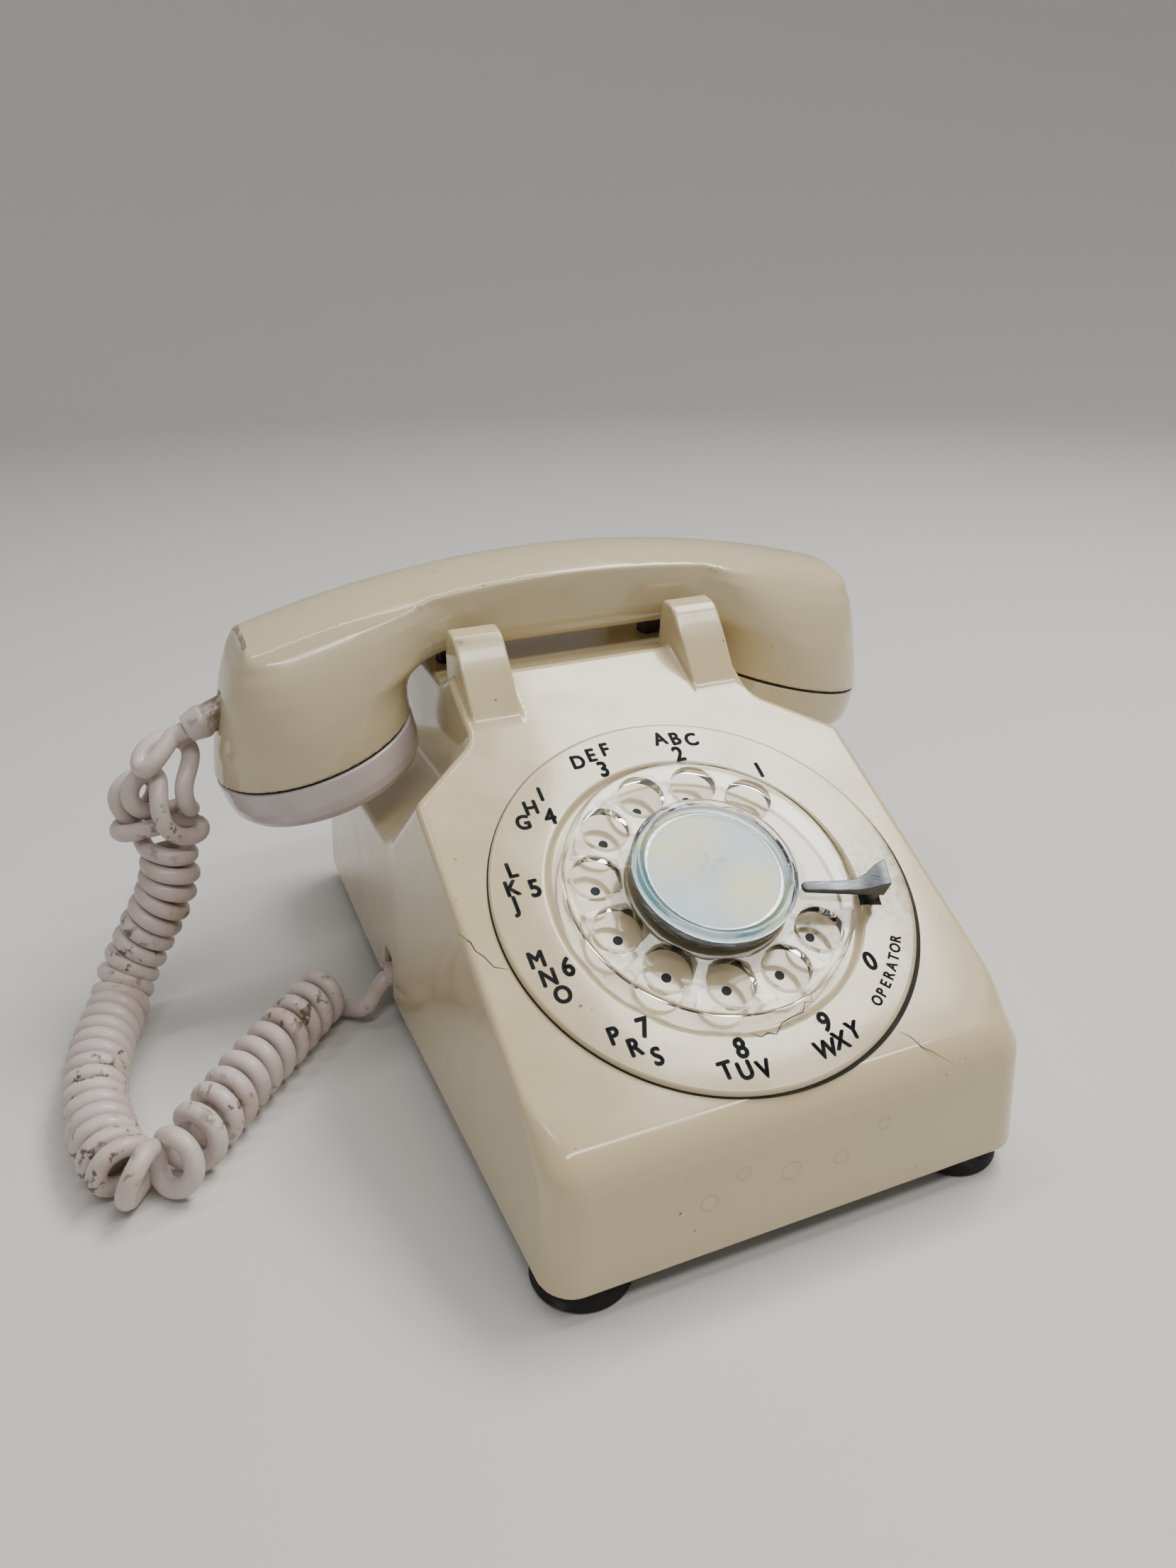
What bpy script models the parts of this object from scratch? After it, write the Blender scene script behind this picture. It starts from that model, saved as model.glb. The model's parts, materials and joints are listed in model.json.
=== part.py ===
"""Rotary desk telephone, in metres: +Z up, the dial faces -Y, the feet stand on z = 0."""

from math import atan2, cos, pi, radians, sin, tan

import bmesh
import bpy
from mathutils import Matrix, Vector

# Overall sizes
DEPTH = 0.228
BODY_HEIGHT_UNDERSIDE = 0.0075
FRONT_HALF_WIDTH = 0.0675
REAR_HALF_WIDTH = 0.0715
WALL = 0.0026
GAP = 0.0003

# Dial, whose own frame is x to the right, y up the slope and z out of the face
DIAL_Y = -0.0575
DIAL_Z = 0.0713
DIAL_SLOPE = radians(26.7)
PLATE_RADIUS = 0.05715
OPENING_RADIUS = 0.0540
WHEEL_RADIUS = 0.0389
FACE_BELOW_PLATE = 0.0018
FINGER_HOLES = 10
FINGER_HOLE_RADIUS = 0.0064
FINGER_HOLE_CIRCLE = 0.03035
FIRST_HOLE_ANGLE = radians(45)
STOP_ANGLE = radians(-16.5)
TRAIN_MODULE = 0.0009
GOVERNOR_MODULE = 0.0006
MAIN_TEETH = 48
PULSE_TEETH = 12
DRIVE_TEETH = 40
GOVERNOR_TEETH = 10
PULSE_ANGLE = radians(135)
GOVERNOR_ANGLE = radians(250)
RUNNING = 0.0001

# Handset
HANDSET_Y = 0.0494
HANDLE_TOP = 0.1365
HANDLE_UNDERSIDE = 0.1114
HANDLE_HALF_WIDTH = 0.0173
ARCH = 1.5
CAP_X = 0.081
CAP_Z = 0.0859
CAP_TILT = radians(14.3)
CAP_RADIUS = 0.0313
CAP_DEPTH = 0.0150
# Rise above the joint, reach outward, reach inward, half width and squareness of each section of a cup
CUP_SECTIONS = (
    (0.0000, 0.0303, 0.0303, 0.0313, 2.0),
    (0.0065, 0.0295, 0.0299, 0.0308, 2.1),
    (0.0110, 0.0286, 0.0306, 0.0299, 2.2),
    (0.0145, 0.0277, 0.0328, 0.0290, 2.3),
    (0.0172, 0.0271, 0.0365, 0.0281, 2.4),
    (0.0235, 0.0256, 0.0365, 0.0258, 2.8),
    (0.0300, 0.0232, 0.0365, 0.0226, 3.6),
    (0.0345, 0.0209, 0.0365, 0.0195, 5.0),
    (0.0368, 0.0190, 0.0365, 0.0173, 9.0),
)

# Cradle and hook
TROUGH_FLOOR = 0.1045
EAR_INNER_X = 0.0275
EAR_OUTER_X = 0.0425
NECK_HALF_WIDTH = 0.0445
PLUNGER_X = 0.035
PLUNGER_SIZE = (0.009, 0.006)
HOOK_PIN_Y = 0.075
HOOK_PIN_Z = 0.080

# Base and ringer
PLATE_BOTTOM = 0.0070
PLATE_TOP = 0.0090
FLOOR = PLATE_TOP + GAP
FOOT_RADIUS = 0.0105
SCREW_YS = (-0.1075, 0.0955)
BOSS_TOPS = (0.0360, 0.0660)
GONG_RADIUS = 0.025
GONG_X = -0.036
GONG_YS = (0.020, 0.077)
CLAPPER_PIVOT = (0.002, 0.0485)

# Handset cord
CORD_RADIUS = 0.0025
COIL_RADIUS = 0.00925
CORD_SLOT_Y = 0.019
CORD_SLOT_Z = 0.0138
BOOT_PLACE = (-0.1066, HANDSET_Y, 0.0988)
BOOT_DIRECTION = (-0.93, 0, -0.367)
BOOT_LENGTH = 0.0112


def clear_scene():
    for obj in list(bpy.data.objects):
        bpy.data.objects.remove(obj, do_unlink=True)


def material(name, colour, roughness=0.4, metallic=0.0):
    made = bpy.data.materials.new(name)
    made.use_nodes = True
    shader = made.node_tree.nodes["Principled BSDF"]
    shader.inputs["Base Color"].default_value = (*colour, 1.0)
    shader.inputs["Roughness"].default_value = roughness
    shader.inputs["Metallic"].default_value = metallic
    made.diffuse_color = (*colour, 1.0)
    return made


def finish(name, bm, mat, place=None, parent=None):
    """Turns a bmesh into an object whose faces point out, smooth but for its sharp edges."""
    bmesh.ops.recalc_face_normals(bm, faces=bm.faces)
    mesh = bpy.data.meshes.new(name)
    bm.to_mesh(mesh)
    bm.free()
    if place is not None:
        mesh.transform(place)
        if place.determinant() < 0:
            mesh.flip_normals()
    mesh.shade_smooth()
    mesh.set_sharp_from_angle(angle=radians(35))
    obj = bpy.data.objects.new(name, mesh)
    bpy.context.scene.collection.objects.link(obj)
    obj.parent = parent
    if mat is None:
        obj.hide_render = True
        obj.display_type = "WIRE"
    else:
        mesh.materials.append(mat)
    return obj


def turned(name, profile, mat, steps=32, place=None, parent=None):
    """Spins (radius, height) points round Z. A profile off the axis is closed into a ring."""
    bm = bmesh.new()
    points = [bm.verts.new((radius, 0, height)) for radius, height in profile]
    pairs = list(zip(points, points[1:]))
    if profile[0][0] > 0:
        pairs.append((points[-1], points[0]))
    edges = [bm.edges.new(pair) for pair in pairs]
    bmesh.ops.spin(
        bm, geom=points + edges, axis=(0, 0, 1), cent=(0, 0, 0), angle=2 * pi, steps=steps, use_merge=True
    )
    bmesh.ops.remove_doubles(bm, verts=bm.verts, dist=1e-6)
    return finish(name, bm, mat, place, parent)


def prism(name, outline, low, high, mat, place=None, parent=None):
    """Extrudes a closed (x, y) outline from low to high along Z."""
    bm = bmesh.new()
    face = bm.faces.new([bm.verts.new((x, y, low)) for x, y in outline])
    raised = bmesh.ops.extrude_face_region(bm, geom=[face])["geom"]
    moved = [item for item in raised if isinstance(item, bmesh.types.BMVert)]
    bmesh.ops.translate(bm, verts=moved, vec=(0, 0, high - low))
    return finish(name, bm, mat, place, parent)


def box(name, low, high, mat, parent=None):
    outline = [(low[0], low[1]), (high[0], low[1]), (high[0], high[1]), (low[0], high[1])]
    return prism(name, outline, low[2], high[2], mat, parent=parent)


def loft(name, rings, mat, place=None, parent=None):
    """Joins rings of equal length into a closed skin with flat ends."""
    bm = bmesh.new()
    loops = [[bm.verts.new(point) for point in ring] for ring in rings]
    count = len(rings[0])
    for first, second in zip(loops, loops[1:]):
        for i in range(count):
            j = (i + 1) % count
            bm.faces.new((first[i], first[j], second[j], second[i]))
    bm.faces.new(loops[0])
    bm.faces.new(loops[-1])
    return finish(name, bm, mat, place, parent)


def tube(name, route, radius, mat, sides=3):
    """A POLY curve with a round bevel and filled caps."""
    curve = bpy.data.curves.new(name, "CURVE")
    curve.dimensions = "3D"
    curve.bevel_depth = radius
    curve.bevel_resolution = sides
    curve.use_fill_caps = True
    spline = curve.splines.new("POLY")
    spline.points.add(len(route) - 1)
    for point, place in zip(spline.points, route):
        point.co = (*place, 1.0)
    curve.materials.append(mat)
    obj = bpy.data.objects.new(name, curve)
    bpy.context.scene.collection.objects.link(obj)
    return obj


def boolean(obj, other, operation):
    modifier = obj.modifiers.new(f"{operation.lower()} {other.name}", "BOOLEAN")
    modifier.operation = operation
    modifier.object = other


def cut(obj, *cutters):
    for cutter in cutters:
        boolean(obj, cutter, "DIFFERENCE")


def add(obj, *others):
    for other in others:
        boolean(obj, other, "UNION")


def hole(obj, name, centre, radius, low, high, turn=None, parent=None, steps=16):
    """Cuts a round hole along Z, or along the turned axis, at a centre."""
    profile = [(0, low), (radius, low), (radius, high), (0, high)]
    place = Matrix.Translation(centre) @ (turn or Matrix())
    cut(obj, turned(name, profile, None, steps, place, parent))


def along_x(offset=(0, 0, 0)):
    """Takes an outline drawn in (y, z) and its extrusion along Z to an extrusion along X."""
    turn = Matrix(((0, 0, 1, 0), (1, 0, 0, 0), (0, 1, 0, 0), (0, 0, 0, 1)))
    return Matrix.Translation(offset) @ turn


def circle(centre, radius, count, start=0.0, sweep=2 * pi):
    """Points round a circle, or round an arc when the sweep is less than a turn."""
    last = count if sweep >= 2 * pi else count - 1
    angles = [start + sweep * i / last for i in range(count)]
    return [(centre[0] + radius * cos(a), centre[1] + radius * sin(a)) for a in angles]


def rounded(outline, radii, steps=4):
    """Replaces each corner that has a radius by an arc."""
    made = []
    for i, corner in enumerate(outline):
        radius = radii.get(i, 0)
        if not radius:
            made.append(corner)
            continue
        here = Vector(corner)
        back = (Vector(outline[i - 1]) - here).normalized()
        ahead = (Vector(outline[(i + 1) % len(outline)]) - here).normalized()
        half = back.angle(ahead) / 2
        centre = here + (back + ahead).normalized() * radius / sin(half)
        first = here + back * radius / tan(half) - centre
        last = here + ahead * radius / tan(half) - centre
        start = atan2(first.y, first.x)
        sweep = (atan2(last.y, last.x) - start + pi) % (2 * pi) - pi
        made += circle(centre, radius, steps + 1, start, sweep)
    return made


def inset(outline, distance):
    """Moves each edge of a clockwise outline inwards and meets them again."""
    made = []
    for i, corner in enumerate(outline):
        here, before, after = Vector(corner), Vector(outline[i - 1]), Vector(outline[(i + 1) % len(outline)])
        back, ahead = (here - before).normalized(), (after - here).normalized()
        normals = Vector((back.y, -back.x)), Vector((ahead.y, -ahead.x))
        middle = (normals[0] + normals[1]).normalized()
        made.append(tuple(here + middle * distance / middle.dot(normals[0])))
    return made


def smooth_route(points, count):
    """Evenly spread points on a Catmull-Rom curve through the given ones."""
    given = [Vector(point) for point in points]
    given = [2 * given[0] - given[1], *given, 2 * given[-1] - given[-2]]
    fine = []
    for a, b, c, d in zip(given, given[1:], given[2:], given[3:]):
        for step in range(24):
            t = step / 24
            fine.append(
                0.5 * (2 * b + (c - a) * t + (2 * a - 5 * b + 4 * c - d) * t**2 + (3 * b - a - 3 * c + d) * t**3)
            )
    fine.append(given[-2])
    lengths = [0.0]
    for first, second in zip(fine, fine[1:]):
        lengths.append(lengths[-1] + (second - first).length)
    made, at = [], 0
    for i in range(count):
        wanted = lengths[-1] * i / (count - 1)
        while at < len(fine) - 2 and lengths[at + 1] < wanted:
            at += 1
        share = (wanted - lengths[at]) / (lengths[at + 1] - lengths[at])
        made.append(fine[at].lerp(fine[at + 1], share))
    return made


def gear_outline(teeth, module, phase=0.0):
    """Short straight-flanked teeth, thinner than their gaps so that a train runs with play."""
    pitch = 2 * pi / teeth
    radius = module * teeth / 2
    root, tip = radius - 1.0 * module, radius + 0.75 * module
    points = []
    for tooth in range(teeth):
        middle = phase + tooth * pitch
        for reach, share in ((root, -0.24), (tip, -0.10), (tip, 0.10), (root, 0.24)):
            angle = middle + share * pitch
            points.append((reach * cos(angle), reach * sin(angle)))
    return points


def face_z(y):
    """Height of the housing's sloping face at a depth."""
    face_y = DIAL_Y + FACE_BELOW_PLATE * sin(DIAL_SLOPE)
    face_height = DIAL_Z - FACE_BELOW_PLATE * cos(DIAL_SLOPE)
    return face_height + (y - face_y) * tan(DIAL_SLOPE)


def body_half_width(y):
    return FRONT_HALF_WIDTH + (REAR_HALF_WIDTH - FRONT_HALF_WIDTH) * min(1.0, (y + DEPTH / 2) / 0.12)


def plan_ring(z, draft, shrink, corner=0.009):
    """The body's plan outline at a height, narrower at the front, with round corners."""
    front, rear = -DEPTH / 2 + shrink, DEPTH / 2 - shrink
    turn_y = 0.009
    widths = [body_half_width(y) - draft * z - shrink for y in (front, turn_y, rear)]
    left = [(-widths[0], front), (-widths[1], turn_y), (-widths[2], rear)]
    right = [(-x, y) for x, y in reversed(left)]
    outline = rounded(left + right, {0: corner, 2: corner, 3: corner, 5: corner})
    return [(x, y, z) for x, y in outline]


def shoulder_cutter(name, side, reach):
    """What is cut away beside the neck, bounded by the neck, the shoulder and a slanting facet."""
    bm = bmesh.new()
    bmesh.ops.create_cube(bm, size=0.2)
    bmesh.ops.translate(bm, verts=bm.verts, vec=(0.1 + NECK_HALF_WIDTH - reach, 0.04, 0.12))
    low_corner = Vector((0.0655, -0.0166, face_z(-0.0166)))
    high_corner = Vector((0.0460, -0.0014, face_z(-0.0014)))
    fold_end = Vector((0.0670, 0.0150, 0.0620))
    facet = (high_corner - low_corner).cross(fold_end - low_corner)
    facet = facet.normalized() * (1 if facet.y > 0 else -1)
    shoulder = Vector((0.36, 0.06, 1.0)).normalized()
    for point, normal in ((low_corner, facet), (fold_end, shoulder)):
        everything = bm.verts[:] + bm.edges[:] + bm.faces[:]
        cut_at = point - normal * reach
        found = bmesh.ops.bisect_plane(
            bm, geom=everything, plane_co=cut_at, plane_no=normal, clear_inner=True, dist=1e-7
        )
        edges = [item for item in found["geom_cut"] if isinstance(item, bmesh.types.BMEdge)]
        bmesh.ops.edgeloop_fill(bm, edges=edges)
    return finish(name, bm, None, Matrix.Scale(side, 4, (1, 0, 0)))


def body_form(name, shrink, mat):
    """The housing's outer form, or the same form drawn in by the wall for its hollow."""
    front, rear = -DEPTH / 2, DEPTH / 2
    lip = front + 0.0017
    profile = [
        (front, BODY_HEIGHT_UNDERSIDE),
        (lip, face_z(lip)),
        (0.0215, face_z(0.0215)),
        (0.0290, TROUGH_FLOOR),
        (0.0698, TROUGH_FLOOR),
        (0.0770, TROUGH_FLOOR + 0.0015),
        (0.0900, 0.0980),
        (0.1095, 0.0430),
        (rear - 0.0005, 0.0240),
        (rear, BODY_HEIGHT_UNDERSIDE),
    ]
    if shrink:
        profile = inset(profile, shrink)
        profile[0] = (profile[0][0], 0.0)
        profile[-1] = (profile[-1][0], 0.0)
    profile = rounded(profile, {1: 0.012 - shrink, 7: 0.010})
    form = prism(name, profile, -0.1, 0.1, mat, along_x())
    rings = [plan_ring(-0.005, 0.055, shrink), plan_ring(0.115, 0.055, shrink)]
    boolean(form, loft(f"{name}_plan", rings, None), "INTERSECT")
    for side, word in ((-1, "left"), (1, "right")):
        cut(form, shoulder_cutter(f"{name}_{word}_shoulder", side, shrink))
    return form


def ear(name, side, outline):
    """One of the four horns that hold the handset."""
    inner, outer = sorted((side * EAR_INNER_X, side * EAR_OUTER_X))
    return prism(name, outline, inner, outer, None, along_x())


def make_housing(plastic, dial):
    housing = body_form("housing", 0, plastic)
    front_horn = [
        (0.0010, 0.0960), (0.0175, 0.1190), (0.0205, 0.1216), (0.0275, 0.1222), (0.0302, 0.1120),
        (0.0302, 0.0960)
    ]
    rear_horn = [
        (0.0686, 0.0960), (0.0686, 0.1120), (0.0713, 0.1222), (0.0783, 0.1216), (0.0860, 0.1100),
        (0.0915, 0.0890)
    ]
    for side, word in ((-1, "left"), (1, "right")):
        add(housing, ear(f"front_{word}_horn", side, front_horn), ear(f"rear_{word}_horn", side, rear_horn))
    cut(housing, body_form("hollow", WALL, None))
    for y, top in zip(SCREW_YS, BOSS_TOPS):
        boss = turned(
            "screw_boss", [(0, FLOOR), (0.0042, FLOOR), (0.0042, top), (0, top)], None, 16,
            Matrix.Translation((0, y, 0)),
        )
        add(housing, boss)
        hole(housing, "screw_bore", (0, y, 0), 0.0018, FLOOR - 0.002, FLOOR + 0.012, steps=10)
    hole(housing, "dial_opening", (0, 0, 0), OPENING_RADIUS, -0.012, 0.02, parent=dial, steps=56)
    for side in (-1, 1):
        half_x, half_y = PLUNGER_SIZE[0] / 2 + GAP, PLUNGER_SIZE[1] / 2 + GAP
        centre = side * PLUNGER_X
        low = (centre - half_x, HANDSET_Y - half_y, TROUGH_FLOOR - 0.02)
        high = (centre + half_x, HANDSET_Y + half_y, TROUGH_FLOOR + 0.02)
        cut(housing, box("plunger_slot", low, high, None))
    cord_slot = box(
        "cord_slot", (-0.09, CORD_SLOT_Y - 0.0045, -0.01), (-0.055, CORD_SLOT_Y + 0.0045, 0.0225), None
    )
    line_notch = box("line_cord_notch", (-0.034, 0.100, -0.01), (-0.026, 0.130, 0.0150), None)
    cut(housing, cord_slot, line_notch)
    return housing


def make_base(steel, rubber):
    outline = [(x, y) for x, y, z in plan_ring(0.008, 0.055, WALL + 0.0006, 0.0095)]
    plate = prism("base_plate", outline, PLATE_BOTTOM, PLATE_TOP, steel)
    for index, y in enumerate(SCREW_YS):
        hole(plate, "screw_clearance", (0, y, 0), 0.0021, 0.0, 0.02, steps=12)
        head = PLATE_BOTTOM - GAP
        profile = [
            (0, head - 0.0022), (0.0036, head - 0.0022), (0.0036, head), (0.0015, head), (0.0015, 0.0190),
            (0, 0.0190)
        ]
        turned(f"housing_screw_{index + 1}", profile, steel, 12, Matrix.Translation((0, y, 0)))
    feet = {
        "foot_front_left": (-0.054, -0.1000), "foot_front_right": (0.054, -0.1000),
        "foot_rear_left": (-0.056, 0.0970), "foot_rear_right": (0.056, 0.0970),
    }
    for name, (x, y) in feet.items():
        top = PLATE_BOTTOM - GAP
        profile = [(0, 0), (FOOT_RADIUS - 0.001, 0), (FOOT_RADIUS, 0.001), (FOOT_RADIUS, top), (0, top)]
        turned(name, profile, rubber, 24, Matrix.Translation((x, y, 0)))
    low, high = (0.0420, 0.0595, 0.0), (0.0620, 0.0645, 0.02)
    cut(plate, box("volume_slot", low, high, None))
    return plate


def make_dial(dial, mats):
    """The dial, in its own sloping frame."""
    seat = GAP - FACE_BELOW_PLATE
    plate = turned(
        "number_plate",
        [
            (0.0060, -0.0045), (OPENING_RADIUS - 0.0005, -0.0045), (OPENING_RADIUS - 0.0005, seat),
            (PLATE_RADIUS, seat), (PLATE_RADIUS - 0.0002, -0.0006), (PLATE_RADIUS - 0.0010, 0),
            (0.0430, 0), (0.0412, -0.0016), (0.0060, -0.0016),
        ],
        mats["housing"], 56, parent=dial,
    )
    stop_slot = box("stop_slot", (0.0420, -0.0040, -0.01), (0.0478, 0.0040, 0.01), None, parent=dial)
    stop_slot.rotation_euler.z = STOP_ANGLE
    cut(plate, stop_slot)

    wheel = turned(
        "finger_wheel",
        [
            (0.0050, 0.0021), (WHEEL_RADIUS - 0.0008, 0.0018), (WHEEL_RADIUS, 0.0026),
            (WHEEL_RADIUS, 0.0044), (WHEEL_RADIUS - 0.0012, 0.0048), (0.0050, 0.0046),
        ],
        mats["clear"], 48, parent=dial,
    )
    for number in range(FINGER_HOLES):
        angle = FIRST_HOLE_ANGLE + radians(30) * number
        centre = (FINGER_HOLE_CIRCLE * cos(angle), FINGER_HOLE_CIRCLE * sin(angle), 0)
        hole(wheel, "finger_hole", centre, FINGER_HOLE_RADIUS, -0.002, 0.010, parent=dial, steps=16)

    turned(
        "dial_shaft",
        [
            (0, -0.0318), (0.0030, -0.0318), (0.0030, -0.0003), (0.0090, -0.0003),
            (0.0090, 0.0018), (0.0045, 0.0018), (0.0045, 0.0049), (0, 0.0049),
        ],
        mats["steel"], 20, parent=dial,
    )
    turned(
        "card_retainer",
        [(0.0190, 0.0052), (0.0218, 0.0052), (0.0218, 0.0066), (0.0205, 0.0074), (0.0190, 0.0074)],
        mats["chrome"], 40, parent=dial,
    )
    turned("number_card", [(0, 0.0056), (0.0184, 0.0056), (0.0184, 0.0066), (0, 0.0066)], mats["card"], 32,
           parent=dial)
    turned(
        "card_cover",
        [
            (0, 0.0078), (0.0195, 0.0078), (0.0220, 0.0078), (0.0222, 0.0088), (0.0214, 0.0102),
            (0.0196, 0.0104), (0.0188, 0.0094), (0, 0.0094),
        ],
        mats["clear"], 40, parent=dial,
    )
    make_finger_stop(dial, mats["satin"])
    make_dial_works(dial, mats)


def make_finger_stop(dial, satin):
    """A strip that rises through the number plate and bends in over the finger wheel."""
    side_view = [
        (0.0448, -0.0046), (0.0462, -0.0046), (0.0462, 0.0060), (0.0450, 0.0074), (0.0420, 0.0076),
        (0.0300, 0.0070), (0.0238, 0.0068), (0.0238, 0.0056), (0.0300, 0.0058), (0.0420, 0.0064),
        (0.0440, 0.0062), (0.0448, 0.0054),
    ]
    stand = Matrix.Rotation(STOP_ANGLE, 4, "Z") @ Matrix.Rotation(pi / 2, 4, "X")
    stop = prism("finger_stop", side_view, -0.0034, 0.0034, satin, stand, dial)
    half_tip, half_foot = 0.0011, 0.0032
    plan = [
        (0.0220, -half_tip), (0.0235, -half_tip), (0.0390, -0.0019), (0.0438, -half_foot),
        (0.0500, -half_foot),
        (0.0500, half_foot), (0.0438, half_foot), (0.0390, 0.0019), (0.0235, half_tip), (0.0220, half_tip),
    ]
    trim = prism("stop_outline", plan, -0.01, 0.012, None, Matrix.Rotation(STOP_ANGLE, 4, "Z"), dial)
    boolean(stop, trim, "INTERSECT")


def train_centres():
    """Where the pulse shaft and the governor stand in the dial's frame."""
    first = TRAIN_MODULE * (MAIN_TEETH + PULSE_TEETH) / 2 + RUNNING
    second = GOVERNOR_MODULE * (DRIVE_TEETH + GOVERNOR_TEETH) / 2 + RUNNING
    pulse = Vector((first * cos(PULSE_ANGLE), first * sin(PULSE_ANGLE), 0))
    governor = pulse + Vector((second * cos(GOVERNOR_ANGLE), second * sin(GOVERNOR_ANGLE), 0))
    return pulse, governor


def mesh_phase(angle, teeth):
    """Turns a gear so that one of its gaps faces back along the line of centres."""
    return angle + pi + pi / teeth


def make_dial_works(dial, mats):
    pulse, governor = train_centres()
    at_pulse, at_governor = Matrix.Translation(pulse), Matrix.Translation(governor)

    frame = turned(
        "dial_frame",
        [
            (0, -0.0310), (0.0440, -0.0310), (0.0440, -0.0070), (0.0530, -0.0070), (0.0530, -0.0050),
            (0.0420, -0.0050), (0.0420, -0.0290), (0, -0.0290),
        ],
        mats["zinc"], 48, parent=dial,
    )
    hole(frame, "shaft_bearing", (0, 0, 0), 0.0033, -0.04, -0.02, parent=dial)
    hole(frame, "pulse_bearing", pulse, 0.0018, -0.04, -0.02, parent=dial, steps=12)
    hole(frame, "governor_bearing", governor, 0.0015, -0.04, -0.02, parent=dial, steps=12)
    for angle in (-90, 0, 180):
        window = box("frame_window", (0.030, -0.014, -0.0260), (0.050, 0.014, -0.0110), None, parent=dial)
        window.rotation_euler.z = radians(angle)
        cut(frame, window)

    main = prism("main_gear", gear_outline(MAIN_TEETH, TRAIN_MODULE, PULSE_ANGLE), -0.0120, -0.0100,
                 mats["brass"],
                 parent=dial)
    hole(main, "main_bore", (0, 0, 0), 0.0033, -0.02, 0.0, parent=dial)

    pinion = prism(
        "pulse_gear", gear_outline(PULSE_TEETH, TRAIN_MODULE, mesh_phase(PULSE_ANGLE, PULSE_TEETH)),
        -0.0130, -0.0090, mats["brass"], at_pulse, dial,
    )
    spindle = turned("pulse_spindle", [(0, -0.0300), (0.0015, -0.0300), (0.0015, -0.0082), (0, -0.0082)],
                     None, 12,
                     at_pulse, dial)
    drive = prism("drive_wheel", gear_outline(DRIVE_TEETH, GOVERNOR_MODULE, GOVERNOR_ANGLE), -0.0175,
                  -0.0160, None,
                  at_pulse, dial)
    add(pinion, spindle, drive)
    lobes = [(0.0042 + 0.0010 * cos(3 * a), a) for a in (2 * pi * i / 24 for i in range(24))]
    cam = prism("pulse_cam", [(r * cos(a), r * sin(a)) for r, a in lobes], -0.0250, -0.0230, None, at_pulse,
                dial)
    add(pinion, cam)

    rotor = prism(
        "governor_rotor", gear_outline(GOVERNOR_TEETH, GOVERNOR_MODULE,
                                       mesh_phase(GOVERNOR_ANGLE, GOVERNOR_TEETH)),
        -0.0185, -0.0150, mats["brass"], at_governor, dial,
    )
    weights = turned(
        "governor_weights",
        [(0, -0.0300), (0.0012, -0.0300), (0.0012, -0.0262), (0.0068, -0.0262), (0.0068, -0.0222),
         (0.0016, -0.0222),
         (0.0016, -0.0180), (0, -0.0180)],
        None, 20, at_governor, dial,
    )
    add(rotor, weights)
    turned(
        "governor_cup",
        [(0.0020, -0.0287), (0.0092, -0.0287), (0.0092, -0.0205), (0.0080, -0.0205), (0.0080, -0.0275),
         (0.0020, -0.0275)],
        mats["zinc"], 28, at_governor, dial,
    )

    turns, count = 3, 42
    inner, outer, strip = 0.0044, 0.0098, 0.0006
    path = [(inner + (outer - inner) * i / count, 2 * pi * turns * i / count) for i in range(count + 1)]
    spiral = [(r * cos(a), r * sin(a)) for r, a in path]
    spiral += [((r + strip) * cos(a), (r + strip) * sin(a)) for r, a in reversed(path)]
    prism("return_spring", spiral, -0.0270, -0.0210, mats["steel"], parent=dial)

    block = box("pulse_contacts", (-0.0060, 0.0265, -0.0287), (0.0020, 0.0340, -0.0190), mats["black"],
                parent=dial)
    for offset in (0.0, 0.0030):
        low = (-0.0230, 0.0270 + offset, -0.0250)
        high = (-0.0050, 0.0276 + offset, -0.0220)
        add(block, box("contact_blade", low, high, None, parent=dial))

    for side, word in ((-1, "left"), (1, "right")):
        top = [(-0.0120, -0.0073), (0.0120, -0.0073)]
        leg = [(DIAL_Y + u * cos(DIAL_SLOPE) - h * sin(DIAL_SLOPE),
                DIAL_Z + u * sin(DIAL_SLOPE) + h * cos(DIAL_SLOPE))
               for u, h in top]
        leg = [(leg[0][0] - 0.004, FLOOR), leg[0], leg[1], (leg[1][0] + 0.004, FLOOR)]
        low, high = sorted((side * 0.0470, side * 0.0488))
        prism(f"dial_bracket_{word}", leg, low, high, mats["steel"], along_x())


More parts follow.
